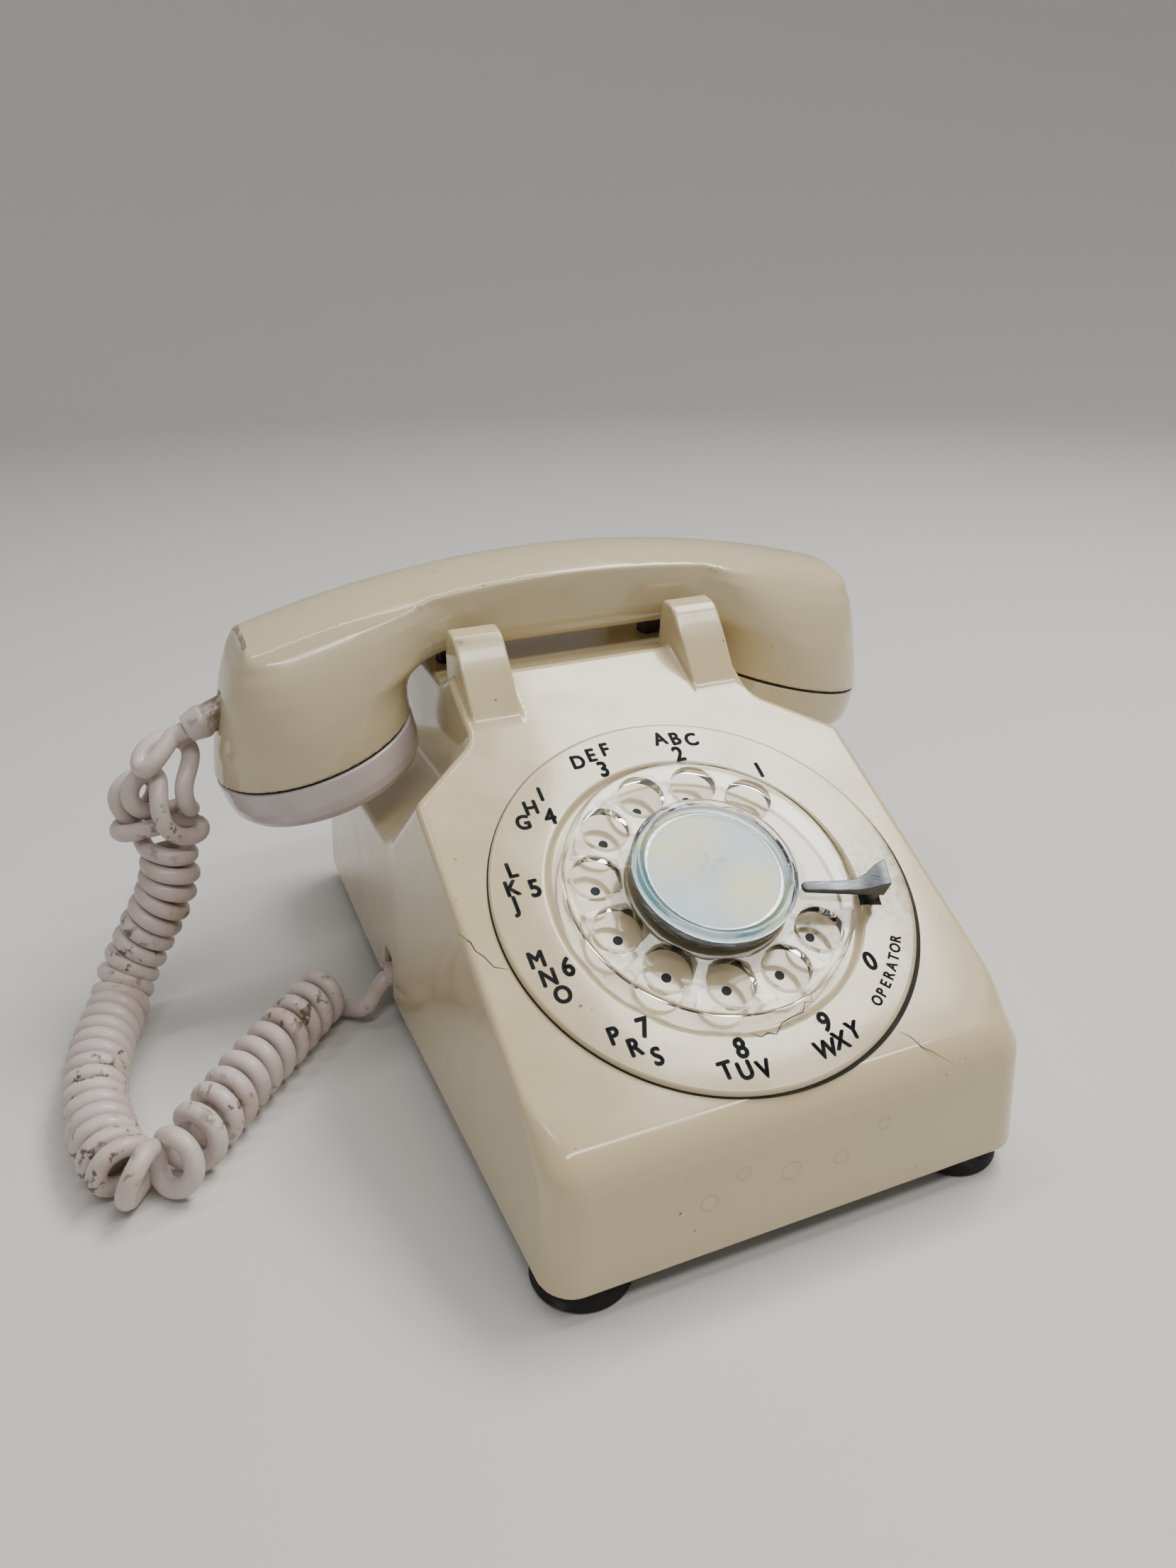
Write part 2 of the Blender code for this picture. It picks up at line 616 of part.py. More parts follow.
def make_hook(mats):
    """The plungers in the cradle, the lever that they ride on, and its switch."""
    half_x, half_y = PLUNGER_SIZE[0] / 2, PLUNGER_SIZE[1] / 2
    lever_top = HOOK_PIN_Z + 0.0010
    for side, word in ((-1, "left"), (1, "right")):
        low = (side * PLUNGER_X - half_x, HANDSET_Y - half_y, lever_top + GAP)
        high = (side * PLUNGER_X + half_x, HANDSET_Y + half_y, HANDLE_UNDERSIDE - GAP)
        box(f"hook_plunger_{word}", low, high, mats["black"])
    reach, arm = 0.0395, 0.0080
    outline = [
        (-reach, HANDSET_Y - 0.0035), (reach, HANDSET_Y - 0.0035), (reach, HANDSET_Y + 0.0035),
        (arm, HANDSET_Y + 0.0035), (arm, HOOK_PIN_Y), (-arm, HOOK_PIN_Y), (-arm, HANDSET_Y + 0.0035),
        (-reach, HANDSET_Y + 0.0035),
    ]
    lever = prism("hook_lever", outline, HOOK_PIN_Z - 0.0010, lever_top, mats["steel"])
    pin_turn = Matrix.Rotation(pi / 2, 4, "Y")
    at_pin = Matrix.Translation((0, HOOK_PIN_Y, HOOK_PIN_Z))
    barrel = turned("lever_barrel", [(0, -arm), (0.0032, -arm), (0.0032, arm), (0, arm)], None, 16,
                    at_pin @ pin_turn)
    add(lever, barrel)
    hole(lever, "lever_bore", at_pin.translation, 0.0018, -0.02, 0.02, pin_turn, steps=12)
    turned("hook_pin", [(0, -0.0130), (0.0015, -0.0130), (0.0015, 0.0130), (0, 0.0130)], mats["steel"], 12,
           at_pin @ pin_turn)

    bracket = box("hook_bracket", (-0.0110, 0.0860, FLOOR), (0.0110, 0.0876, HOOK_PIN_Z + 0.005),
                  mats["steel"])
    for side in (-1, 1):
        low, high = sorted((side * 0.0092, side * 0.0106))
        cheek = box("bracket_cheek", (low, 0.0710, HOOK_PIN_Z - 0.0060),
                    (high, 0.0868, HOOK_PIN_Z + 0.0045), None)
        add(bracket, cheek)
    hole(bracket, "bracket_bores", at_pin.translation, 0.0018, -0.03, 0.03, pin_turn, steps=12)
    foot = box("bracket_foot", (-0.0110, 0.0800, FLOOR), (0.0110, 0.0870, FLOOR + 0.0016), None)
    add(bracket, foot)

    stack = box("hook_contacts", (-0.0060, 0.0780, 0.0560), (0.0060, 0.0857, 0.0700), mats["black"])
    for level in (0.0590, 0.0630, 0.0670):
        add(stack, box("contact_leaf", (-0.0045, 0.0540, level), (0.0045, 0.0790, level + 0.0006), None))


def make_ringer(mats):
    for word, y in zip(("front", "rear"), GONG_YS):
        at = Matrix.Translation((GONG_X, y, 0))
        turned(
            f"gong_{word}",
            [(0.0020, 0.0290), (0.0150, 0.0290), (0.0215, 0.0272), (0.0238, 0.0240), (0.0240, 0.0200),
             (GONG_RADIUS, 0.0200), (0.0249, 0.0244), (0.0224, 0.0283), (0.0155, 0.0303), (0.0020, 0.0303)],
            mats["brass"], 36, at,
        )
        turned(
            f"gong_post_{word}",
            [(0, FLOOR), (0.0034, FLOOR), (0.0034, 0.0287), (0.0018, 0.0287), (0.0018, 0.0180), (0, 0.0180)],
            mats["zinc"], 12, at,
        )
        turned(
            f"gong_screw_{word}",
            [(0, 0.0200), (0.0015, 0.0200), (0.0015, 0.0306), (0.0040, 0.0306), (0.0040, 0.0330),
             (0, 0.0330)],
            mats["steel"], 12, at,
        )
    pivot_x, pivot_y = CLAPPER_PIVOT
    reach = GONG_X - pivot_x
    bar = [(0.0, -0.0016), (0.0, 0.0016), (reach + 0.0016, 0.0010)]
    bar += circle((reach, 0), 0.0022, 9, radians(35), radians(290))
    bar += [(reach + 0.0016, -0.0010)]
    at_pivot = Matrix.Translation((pivot_x, pivot_y, 0))
    clapper = prism("clapper", bar, 0.0205, 0.0225, mats["steel"], at_pivot)
    add(clapper, turned("clapper_hub", [(0, 0.0195), (0.0034, 0.0195), (0.0034, 0.0235), (0, 0.0235)], None,
                        16,
                        at_pivot))
    hole(clapper, "clapper_bore", (pivot_x, pivot_y, 0), 0.0018, 0.01, 0.03, steps=12)
    turned("clapper_pin", [(0, FLOOR), (0.0015, FLOOR), (0.0015, 0.0260), (0, 0.0260)], mats["steel"], 12,
           at_pivot)

    lie = Matrix.Translation((0.022, 0.060, 0.0225)) @ Matrix.Rotation(pi / 2, 4, "X")
    turned(
        "ringer_coil",
        [(0.0043, -0.0165), (0.0112, -0.0165), (0.0112, -0.0150), (0.0098, -0.0150), (0.0098, 0.0150),
         (0.0112, 0.0150), (0.0112, 0.0165), (0.0043, 0.0165)],
        mats["copper"], 24, lie,
    )
    turned("ringer_core", [(0, -0.0188), (0.0040, -0.0188), (0.0040, 0.0188), (0, 0.0188)], mats["steel"],
           16, lie)
    yoke = [
        (0.0385, FLOOR), (0.0815, FLOOR), (0.0815, 0.0330), (0.0793, 0.0330), (0.0793, FLOOR + 0.0016),
        (0.0407, FLOOR + 0.0016), (0.0407, 0.0330), (0.0385, 0.0330),
    ]
    prism("ringer_frame", yoke, 0.0130, 0.0310, mats["steel"], along_x())


def make_inner_parts(mats):
    block = box("network_block", (0.0080, -0.0100, FLOOR), (0.0600, 0.0330, 0.0360), mats["zinc"])
    for row in (0.0, 1.0):
        for column in range(4):
            at = Matrix.Translation((0.0150 + 0.0127 * column, -0.0030 + 0.0290 * row, 0))
            add(block, turned("terminal", [(0, 0.035), (0.0022, 0.035), (0.0022, 0.0385), (0, 0.0385)],
                              None, 8, at))

    wheel_at = Matrix.Translation((0.0520, 0.0620, 0.0126)) @ Matrix.Rotation(pi / 2, 4, "X")
    knurl = [(0.0090 if i % 2 else 0.0085, 2 * pi * i / 36) for i in range(36)]
    wheel = prism("volume_wheel", [(r * cos(a), r * sin(a)) for r, a in knurl], -0.0016, 0.0016,
                  mats["black"],
                  wheel_at)
    hole(wheel, "wheel_bore", wheel_at.translation, 0.0018, -0.01, 0.01, Matrix.Rotation(pi / 2, 4, "X"),
         steps=12)
    turned("volume_axle", [(0, -0.0062), (0.0015, -0.0062), (0.0015, 0.0062), (0, 0.0062)], mats["steel"],
           12,
           wheel_at)
    arch = [
        (0.0572, FLOOR), (0.0586, FLOOR), (0.0586, 0.0226), (0.0654, 0.0226), (0.0654, FLOOR),
        (0.0668, FLOOR),
        (0.0668, 0.0240), (0.0572, 0.0240),
    ]
    bracket = prism("volume_bracket", arch, 0.0485, 0.0555, mats["steel"], along_x())
    hole(bracket, "axle_bores", wheel_at.translation, 0.0018, -0.01, 0.01, Matrix.Rotation(pi / 2, 4, "X"),
         steps=12)

    low = (-0.0620, CORD_SLOT_Y - 0.0060, FLOOR)
    clamp = box("cord_clamp", low, (-0.0560, CORD_SLOT_Y + 0.0060, 0.0185), mats["steel"])
    turn = Matrix.Rotation(pi / 2, 4, "Y")
    hole(clamp, "clamp_bore", (-0.059, CORD_SLOT_Y, CORD_SLOT_Z), CORD_RADIUS + GAP, -0.01, 0.01, turn,
         steps=12)


def cap_frame(side):
    """A frame at the joint of cup and cap, with +Z pointing down out of the cap."""
    place = Matrix.Translation((side * CAP_X, HANDSET_Y, CAP_Z))
    return place @ Matrix.Rotation(pi + side * CAP_TILT, 4, "Y")


def handle_ring(x):
    """The handle's section: crowned on top, with a crisp edge along each side."""
    top = HANDLE_TOP - ARCH * x * x
    low = min(HANDLE_UNDERSIDE, top - 0.0215)
    half = [
        (0.0120, low), (HANDLE_HALF_WIDTH - 0.0015, low + 0.0045), (HANDLE_HALF_WIDTH, top - 0.0038),
        (0.0100, top - 0.0010),
    ]
    points = half + [(0, top)] + [(-y, z) for y, z in reversed(half)]
    return [(x, HANDSET_Y + y, z) for y, z in points]


def cup_ring(side, rise, outward, inward, across, squareness, shrink=0.0):
    """A section of a cup, parallel to its slanting joint: round at the joint, nearly square at the top."""
    points = []
    for i in range(36):
        angle = 2 * pi * i / 36
        reach = outward if cos(angle) > 0 else inward
        x = (reach - shrink) * abs(cos(angle)) ** (2 / squareness) * (1 if cos(angle) > 0 else -1)
        y = (across - shrink) * abs(sin(angle)) ** (2 / squareness) * (1 if sin(angle) > 0 else -1)
        points.append((side * (CAP_X + x), HANDSET_Y + y, CAP_Z + rise - x * tan(CAP_TILT)))
    return points


def cup_form(name, side, shrink, mat):
    """A cup of the handset, or the hollow inside it."""
    sections = CUP_SECTIONS
    if shrink:
        low = (-0.0020, 0.0303, 0.0303, 0.0313, 2.0)
        high = (0.0310, 0.0220, 0.0300, 0.0212, 3.6)
        middle = [(rise, out, min(back, 0.0303), across, 2.1) for rise, out, back, across,
                  power in sections[1:6]]
        sections = [low, *middle, high]
    return loft(name, [cup_ring(side, *section, shrink) for section in sections], mat)


def make_handset(mats):
    stations = [-0.0975 + 0.195 * i / 14 for i in range(15)]
    handle = loft("handset_handle", [handle_ring(x) for x in stations], mats["housing"])
    for side, word in ((-1, "left"), (1, "right")):
        add(handle, cup_form(f"{word}_cup", side, 0, None))
    for side, word in ((-1, "left"), (1, "right")):
        cut(handle, cup_form(f"{word}_cup_hollow", side, WALL, None))
    cut(handle, box("wire_channel", (-0.068, HANDSET_Y - 0.004, 0.1165), (0.068, HANDSET_Y + 0.004, 0.1235),
                    None))
    cut(handle, boot_part("boot_hole", [(0, -0.012), (0.0049, -0.012), (0.0049, 0.02), (0, 0.02)], None))
    boot_part(
        "cord_boot",
        [(0, -0.0030), (0.0046, -0.0030), (0.0046, 0.0056), (0.0052, 0.0062), (0.0034, BOOT_LENGTH),
         (0, BOOT_LENGTH)],
        mats["cord"],
    )
    for side, word in ((-1, "transmitter"), (1, "receiver")):
        frame = cap_frame(side)
        cap = turned(
            f"{word}_cap",
            [(0.0240, -0.0050), (0.0262, -0.0050), (0.0262, 0.0006), (CAP_RADIUS, 0.0006),
             (CAP_RADIUS - 0.0002, 0.0090), (0.0290, 0.0130), (0.0250, CAP_DEPTH), (0.0150, CAP_DEPTH),
             (0, CAP_DEPTH - 0.0008), (0, 0.0125), (0.0240, 0.0125)],
            mats["cap"] if side < 0 else mats["housing"], 36, frame,
        )
        centres = [(0, 0)] + circle((0, 0), 0.0090, 6)
        for x, y in centres:
            hole(cap, f"{word}_cap_hole", frame @ Vector((x, y, 0)), 0.0013, 0.008, 0.020,
                 frame.to_3x3().to_4x4(), steps=8)
        turned(
            f"{word}_capsule",
            [(0, 0.0010), (0.0225, 0.0010), (0.0225, 0.0095), (0.0200, 0.0118), (0, 0.0118)],
            mats["zinc"], 28, frame,
        )
    frame = cap_frame(-1)
    turned(
        "transmitter_cup",
        [(0, -0.0120), (0.0190, -0.0120), (0.0190, 0.0006), (0.0172, 0.0006), (0.0172, -0.0100),
         (0, -0.0100)],
        mats["black"], 24, frame,
    )


def boot_part(name, profile, mat):
    """A turned piece on the axis of the handset's cord boot."""
    turn = Vector((0, 0, 1)).rotation_difference(Vector(BOOT_DIRECTION)).to_matrix().to_4x4()
    return turned(name, profile, mat, 20, Matrix.Translation(BOOT_PLACE) @ turn)


def make_cord(mats):
    """The handset cord: a strand, a knot, the curly stretch in two legs, and a strand into the housing."""
    exit_point = Vector(BOOT_PLACE) + Vector(BOOT_DIRECTION) * (BOOT_LENGTH + 2 * GAP)
    strand = [
        exit_point, exit_point + Vector(BOOT_DIRECTION) * 0.0030, (-0.1225, HANDSET_Y, 0.0912),
        (-0.1246, HANDSET_Y, 0.0866),
    ]
    tube("cord_strand", smooth_route(strand, 8), CORD_RADIUS, mats["cord"], 2)

    knot = [(0, -0.0150), (0.0080, -0.0135), (0.0125, -0.0080), (0.0140, 0), (0.0125, 0.0080),
            (0.0080, 0.0130),
            (0, 0.0140)]
    turned("cord_knot", knot, mats["cord"], 18, Matrix.Translation((-0.1300, HANDSET_Y, 0.0710)))

    hanging = [
        (-0.1296, 0.0494, 0.0550), (-0.1325, 0.0494, 0.0440), (-0.1395, 0.0494, 0.0310),
        (-0.1468, 0.0470, 0.0180),
        (-0.1512, 0.0400, 0.0112), (-0.1555, 0.0280, 0.0096), (-0.1585, 0.0130, 0.0095),
        (-0.1595, -0.0020, 0.0095),
        (-0.1580, -0.0140, 0.0095), (-0.1560, -0.0225, 0.0095),
    ]
    tube("coil_hanging", smooth_route(hanging, 26), COIL_RADIUS, mats["cord"], 3)
    bend = [(0, -0.0084), (0.0050, -0.0074), (0.0080, -0.0040), (0.0088, 0), (0.0080, 0.0040),
            (0.0050, 0.0074),
            (0, 0.0084)]
    turned("coil_bend", bend, mats["cord"], 16, Matrix.Translation((-0.1508, -0.0372, 0.0087)))
    lying = [
        (-0.1372, -0.0315, 0.0095), (-0.1308, -0.0215, 0.0095), (-0.1248, -0.0145, 0.0095),
        (-0.1188, -0.0070, 0.0095),
        (-0.1130, -0.0005, 0.0095), (-0.1070, 0.0060, 0.0095), (-0.0995, 0.0145, 0.0095),
        (-0.0940, 0.0190, 0.0098),
    ]
    tube("coil_lying", smooth_route(lying, 20), COIL_RADIUS, mats["cord"], 3)
    tail = [
        (-0.0929, 0.0199, 0.0100), (-0.0870, 0.0222, 0.0108), (-0.0800, 0.0205, 0.0120),
        (-0.0740, CORD_SLOT_Y, CORD_SLOT_Z), (-0.0640, CORD_SLOT_Y, CORD_SLOT_Z),
        (-0.0520, CORD_SLOT_Y, CORD_SLOT_Z),
    ]
    tube("cord_tail", smooth_route(tail, 18), CORD_RADIUS, mats["cord"], 2)
    turn = Matrix.Translation((0, CORD_SLOT_Y, CORD_SLOT_Z)) @ Matrix.Rotation(pi / 2, 4, "Y")
    turned(
        "cord_grommet",
        [(CORD_RADIUS + GAP, -0.0725), (0.0041, -0.0725), (0.0041, -0.0650), (CORD_RADIUS + GAP, -0.0650)],
        mats["cord"], 16, turn,
    )


def main():
    clear_scene()
    mats = {
        "housing": material("beige_plastic", (0.72, 0.62, 0.44), 0.3),
        "cap": material("pale_plastic", (0.74, 0.66, 0.62), 0.35),
        "cord": material("cord_vinyl", (0.62, 0.54, 0.50), 0.5),
        "clear": material("clear_acrylic", (0.86, 0.86, 0.84), 0.1),
        "card": material("card_paper", (0.62, 0.76, 0.72), 0.7),
        "steel": material("sheet_steel", (0.55, 0.55, 0.56), 0.35, 1.0),
        "satin": material("satin_metal", (0.36, 0.36, 0.37), 0.4, 1.0),
        "chrome": material("chrome", (0.75, 0.76, 0.78), 0.12, 1.0),
        "zinc": material("zinc", (0.50, 0.51, 0.53), 0.5, 1.0),
        "brass": material("brass", (0.66, 0.50, 0.24), 0.3, 1.0),
        "copper": material("copper_wire", (0.55, 0.26, 0.13), 0.45, 1.0),
        "black": material("black_plastic", (0.03, 0.03, 0.03), 0.5),
        "rubber": material("rubber", (0.02, 0.02, 0.02), 0.8),
    }
    dial = bpy.data.objects.new("dial_centre", None)
    bpy.context.scene.collection.objects.link(dial)
    dial.location = (0, DIAL_Y, DIAL_Z)
    dial.rotation_euler.x = DIAL_SLOPE

    make_housing(mats["housing"], dial)
    make_base(mats["steel"], mats["rubber"])
    make_dial(dial, mats)
    make_hook(mats)
    make_ringer(mats)
    make_inner_parts(mats)
    make_handset(mats)
    make_cord(mats)


main()
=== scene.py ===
"""Rotary desk telephone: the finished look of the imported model."""

import json
from math import cos, pi, radians, sin, tan

import bmesh
import bpy
import numpy as np
from mathutils import Matrix, Vector


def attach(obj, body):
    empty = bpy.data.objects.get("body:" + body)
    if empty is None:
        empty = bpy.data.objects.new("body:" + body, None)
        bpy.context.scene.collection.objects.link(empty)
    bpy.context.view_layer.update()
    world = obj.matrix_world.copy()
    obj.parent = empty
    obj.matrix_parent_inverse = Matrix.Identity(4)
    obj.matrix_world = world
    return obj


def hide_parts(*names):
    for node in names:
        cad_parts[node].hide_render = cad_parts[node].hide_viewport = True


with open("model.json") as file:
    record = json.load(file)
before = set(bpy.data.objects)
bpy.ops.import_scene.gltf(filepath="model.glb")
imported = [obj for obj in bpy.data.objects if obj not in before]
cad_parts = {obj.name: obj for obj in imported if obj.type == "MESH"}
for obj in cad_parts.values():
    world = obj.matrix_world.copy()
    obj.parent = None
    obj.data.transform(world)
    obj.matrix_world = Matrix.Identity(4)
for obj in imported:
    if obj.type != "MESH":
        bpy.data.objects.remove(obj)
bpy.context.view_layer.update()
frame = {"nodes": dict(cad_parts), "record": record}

# The part's own sizes, in metres
HALF_DEPTH = 0.114
UNDERSIDE = 0.0075
FRONT_HALF_WIDTH = 0.0675
REAR_HALF_WIDTH = 0.0715
DRAFT = 0.055
TROUGH_FLOOR = 0.1045
NECK_TOP_Y = 0.0215
NECK_HALF_WIDTH = 0.0445
HORN_MIDDLE = 0.0350
HORN_HALF = 0.0075
DIAL_CENTRE = Vector((0, -0.0575, 0.0713))
DIAL_SLOPE = radians(26.7)
FACE_BELOW_PLATE = 0.0018
HOLE_CIRCLE = 0.03035
FIRST_HOLE = radians(45)
STOP_ANGLE = radians(-16.5)
HANDSET_Y = 0.0494
HANDLE_TOP = 0.1365
HANDLE_UNDERSIDE = 0.1114
CAP_X = 0.081
CAP_Z = 0.0859
CAP_TILT = radians(14.3)
CORD_RADIUS = 0.0027
COIL_RADIUS = 0.00925
COIL_START = radians(-120)
BOOT_PLACE = Vector((-0.1066, HANDSET_Y, 0.0988))
BOOT_DIRECTION = Vector((-0.93, 0, -0.367))
BOOT_LENGTH = 0.0112
BOOT_STAIN = 0.0105
PLATE_RADIUS = 0.05715
WHEEL_RADIUS = 0.0389
CARD_RADIUS = 0.0207
NUMERAL_CIRCLE = 0.0455
LETTER_CIRCLE = 0.0512
DOT_CIRCLE = 0.0295
FOOT_RADIUS = 0.0128
HANDLE_HALF_WIDTH = 0.0173
SHOULDER = 0.0038

# Where the camera stands and how it is turned
CAMERA_PLACE = (-0.1267, -0.2838, 0.2279)
CAMERA_AZIMUTH = radians(-22.44)
CAMERA_ELEVATION = radians(26.10)
CAMERA_ROLL = radians(-0.65)
CAMERA_LENS = 26.35

# The housing's back, seen from its side, as (Y, Z) from the cradle down
BACK_OUTLINE = ((0.0770, 0.1060), (0.0900, 0.0980), (0.1095, 0.0430), (0.1135, 0.0240), (0.1140, UNDERSIDE))

# The front and rear horns of the cradle, seen from their side, as (Y, Z)
HORN_OUTLINES = (
    (
        (0.0010, 0.0960), (0.0175, 0.1190), (0.0205, 0.1216),
        (0.0275, 0.1222), (0.0302, 0.1120), (0.0302, 0.0960),
    ),
    (
        (0.0686, 0.0960), (0.0686, 0.1120), (0.0713, 0.1222),
        (0.0783, 0.1216), (0.0860, 0.1100), (0.0915, 0.0890),
    ),
)

# A handset cup's level sections: height over the cap, reach outward, inward and across, and squareness
CUP_SECTIONS = np.array([
    (-0.0100, 0.0303, 0.0303, 0.0313, 2.0),
    (0.0000, 0.0303, 0.0303, 0.0313, 2.0),
    (0.0065, 0.0295, 0.0299, 0.0308, 2.1),
    (0.0110, 0.0286, 0.0306, 0.0299, 2.2),
    (0.0145, 0.0277, 0.0328, 0.0290, 2.3),
    (0.0172, 0.0271, 0.0365, 0.0281, 2.4),
    (0.0235, 0.0256, 0.0380, 0.0258, 2.8),
    (0.0300, 0.0232, 0.0400, 0.0226, 3.6),
    (0.0345, 0.0209, 0.0420, 0.0195, 5.0),
    (0.0368, 0.0190, 0.0430, 0.0174, 8.0),
    (0.0450, 0.0165, 0.0430, 0.0172, 9.0),
])

dial_frame = Matrix.Translation(DIAL_CENTRE) @ Matrix.Rotation(DIAL_SLOPE, 4, "X")
nodes = frame["nodes"]


# ---- Camera, lights and floor ----

def add_camera():
    """A camera in front of the object, to its left and above it."""
    level = Vector((-sin(CAMERA_AZIMUTH), cos(CAMERA_AZIMUTH), 0))
    ahead = cos(CAMERA_ELEVATION) * level - Vector((0, 0, sin(CAMERA_ELEVATION)))
    right = Vector((cos(CAMERA_AZIMUTH), sin(CAMERA_AZIMUTH), 0))
    up = right.cross(ahead)
    across = cos(CAMERA_ROLL) * right + sin(CAMERA_ROLL) * up
    upward = cos(CAMERA_ROLL) * up - sin(CAMERA_ROLL) * right
    camera = bpy.data.objects.new("camera", bpy.data.cameras.new("camera"))
    camera.matrix_world = Matrix((across, upward, -ahead)).transposed().to_4x4()
    camera.location = CAMERA_PLACE
    camera.data.lens = CAMERA_LENS
    camera.data.sensor_width = 36
    camera.data.clip_start = 0.01
    bpy.context.scene.collection.objects.link(camera)
    bpy.context.scene.camera = camera


def add_light(name, place, target, size, power, colour=(1, 1, 1)):
    data = bpy.data.lights.new(name, "AREA")
    data.shape = "RECTANGLE"
    data.size, data.size_y = size
    data.energy = power
    data.color = colour
    light = bpy.data.objects.new(name, data)
    light.location = place
    light.rotation_euler = (Vector(target) - Vector(place)).to_track_quat("-Z", "Y").to_euler()
    bpy.context.scene.collection.objects.link(light)


def add_studio():
    """Three soft ceiling lights, a dim sky, and a floor that rises into a round backdrop."""
    world = bpy.data.worlds.new("studio")
    world.use_nodes = True
    world.node_tree.nodes["Background"].inputs["Color"].default_value = (0.93, 0.95, 1.0, 1)
    world.node_tree.nodes["Background"].inputs["Strength"].default_value = 0.15
    bpy.context.scene.world = world
    add_light("key", (0.55, 0.05, 1.15), (0, 0, 0.05), (0.6, 0.4), 12, (1.0, 0.98, 0.94))
    add_light("tubes", (0.10, -0.55, 1.10), (0, 0, 0.08), (1.3, 0.09), 6, (1.0, 0.99, 0.97))
    add_light("rear_tubes", (-0.05, 0.30, 1.15), (0, 0, 0.10), (1.3, 0.09), 4.5, (1.0, 0.99, 0.97))
    flat, sweep, top = 1.3, 0.6, 1.6
    bend = arc((flat, sweep), sweep, -pi / 2, 0, 12)
    mesh = turned_mesh("floor", [(0.0, 0.0), *bend, (flat + sweep, top)], 64)
    mesh.shade_smooth()
    floor = bpy.data.objects.new("floor", mesh)
    bpy.context.scene.collection.objects.link(floor)
    floor.location.z = -0.0002
    mesh.materials.append(new_material("floor", (0.66, 0.65, 0.63), 0.6)[0])


# ---- Materials ----

def new_material(name, colour, roughness=0.4, metallic=0.0):
    mat = bpy.data.materials.new(name)
    mat.use_nodes = True
    shader = mat.node_tree.nodes["Principled BSDF"]
    shader.inputs["Base Color"].default_value = (*colour, 1)
    shader.inputs["Roughness"].default_value = roughness
    shader.inputs["Metallic"].default_value = metallic
    return mat, mat.node_tree, shader


def node(tree, kind, **values):
    """A shader node, with inputs set by name and other properties by attribute."""
    made = tree.nodes.new(kind)
    for key, value in values.items():
        if key in made.inputs:
            made.inputs[key].default_value = value
        else:
            setattr(made, key, value)
    return made


def place_of(tree):
    return node(tree, "ShaderNodeTexCoord").outputs["Object"]


def noise_at(tree, scale, detail=4.0, stretch=None, shift=(0, 0, 0)):
    """Noise in the part's own coordinates, from 0 to 1."""
    mapping = node(tree, "ShaderNodeMapping")
    mapping.inputs["Scale"].default_value = stretch or (1, 1, 1)
    mapping.inputs["Location"].default_value = shift
    tree.links.new(place_of(tree), mapping.inputs["Vector"])
    noise = node(tree, "ShaderNodeTexNoise", Scale=scale, Detail=detail)
    tree.links.new(mapping.outputs["Vector"], noise.inputs["Vector"])
    return noise.outputs["Fac"]


def ramp(tree, value, low, high, start=0.0, end=1.0):
    """Maps value from the span low to high onto start to end, held at both ends."""
    made = node(tree, "ShaderNodeMapRange")
    made.interpolation_type = "SMOOTHSTEP"
    for key, number in (("From Min", low), ("From Max", high), ("To Min", start), ("To Max", end)):
        made.inputs[key].default_value = number
    tree.links.new(value, made.inputs["Value"])
    return made.outputs["Result"]


def maths(tree, operation, first, second):
    made = node(tree, "ShaderNodeMath")
    made.operation = operation
    for socket, value in zip(made.inputs, (first, second)):
        if isinstance(value, (int, float)):
            socket.default_value = value
        else:
            tree.links.new(value, socket)
    return made.outputs[0]


def tint(tree, base, colour, share):
    """Base mixed towards a colour by a share. Base is a colour or a socket."""
    made = node(tree, "ShaderNodeMix")
    made.data_type = "RGBA"
    first, second = [socket for socket in made.inputs if socket.type == "RGBA"][:2]
    if isinstance(base, tuple):
        first.default_value = (*base, 1)
    else:
        tree.links.new(base, first)
    second.default_value = (*colour, 1)
    tree.links.new(share, made.inputs["Factor"])
    return [socket for socket in made.outputs if socket.type == "RGBA"][0]


def bump(tree, shader, height, distance, strength=0.5):
    made = node(tree, "ShaderNodeBump", Strength=strength, Distance=distance)
    tree.links.new(height, made.inputs["Height"])
    tree.links.new(made.outputs["Normal"], shader.inputs["Normal"])


def near(tree, point, reach):
    """1 at a point and 0 beyond a reach from it."""
    made = node(tree, "ShaderNodeVectorMath")
    made.operation = "DISTANCE"
    made.inputs[1].default_value = point
    tree.links.new(place_of(tree), made.inputs[0])
    return ramp(tree, made.outputs["Value"], reach, reach * 0.25)


def ring_mark(tree, point, radius, width):
    """1 on a thin circle round a point, as a dried drop leaves."""
    made = node(tree, "ShaderNodeVectorMath")
    made.operation = "DISTANCE"
    made.inputs[1].default_value = point
    tree.links.new(place_of(tree), made.inputs[0])
    off = maths(tree, "ABSOLUTE", maths(tree, "SUBTRACT", made.outputs["Value"], radius), 0.0)
    return ramp(tree, off, width, 0.0)


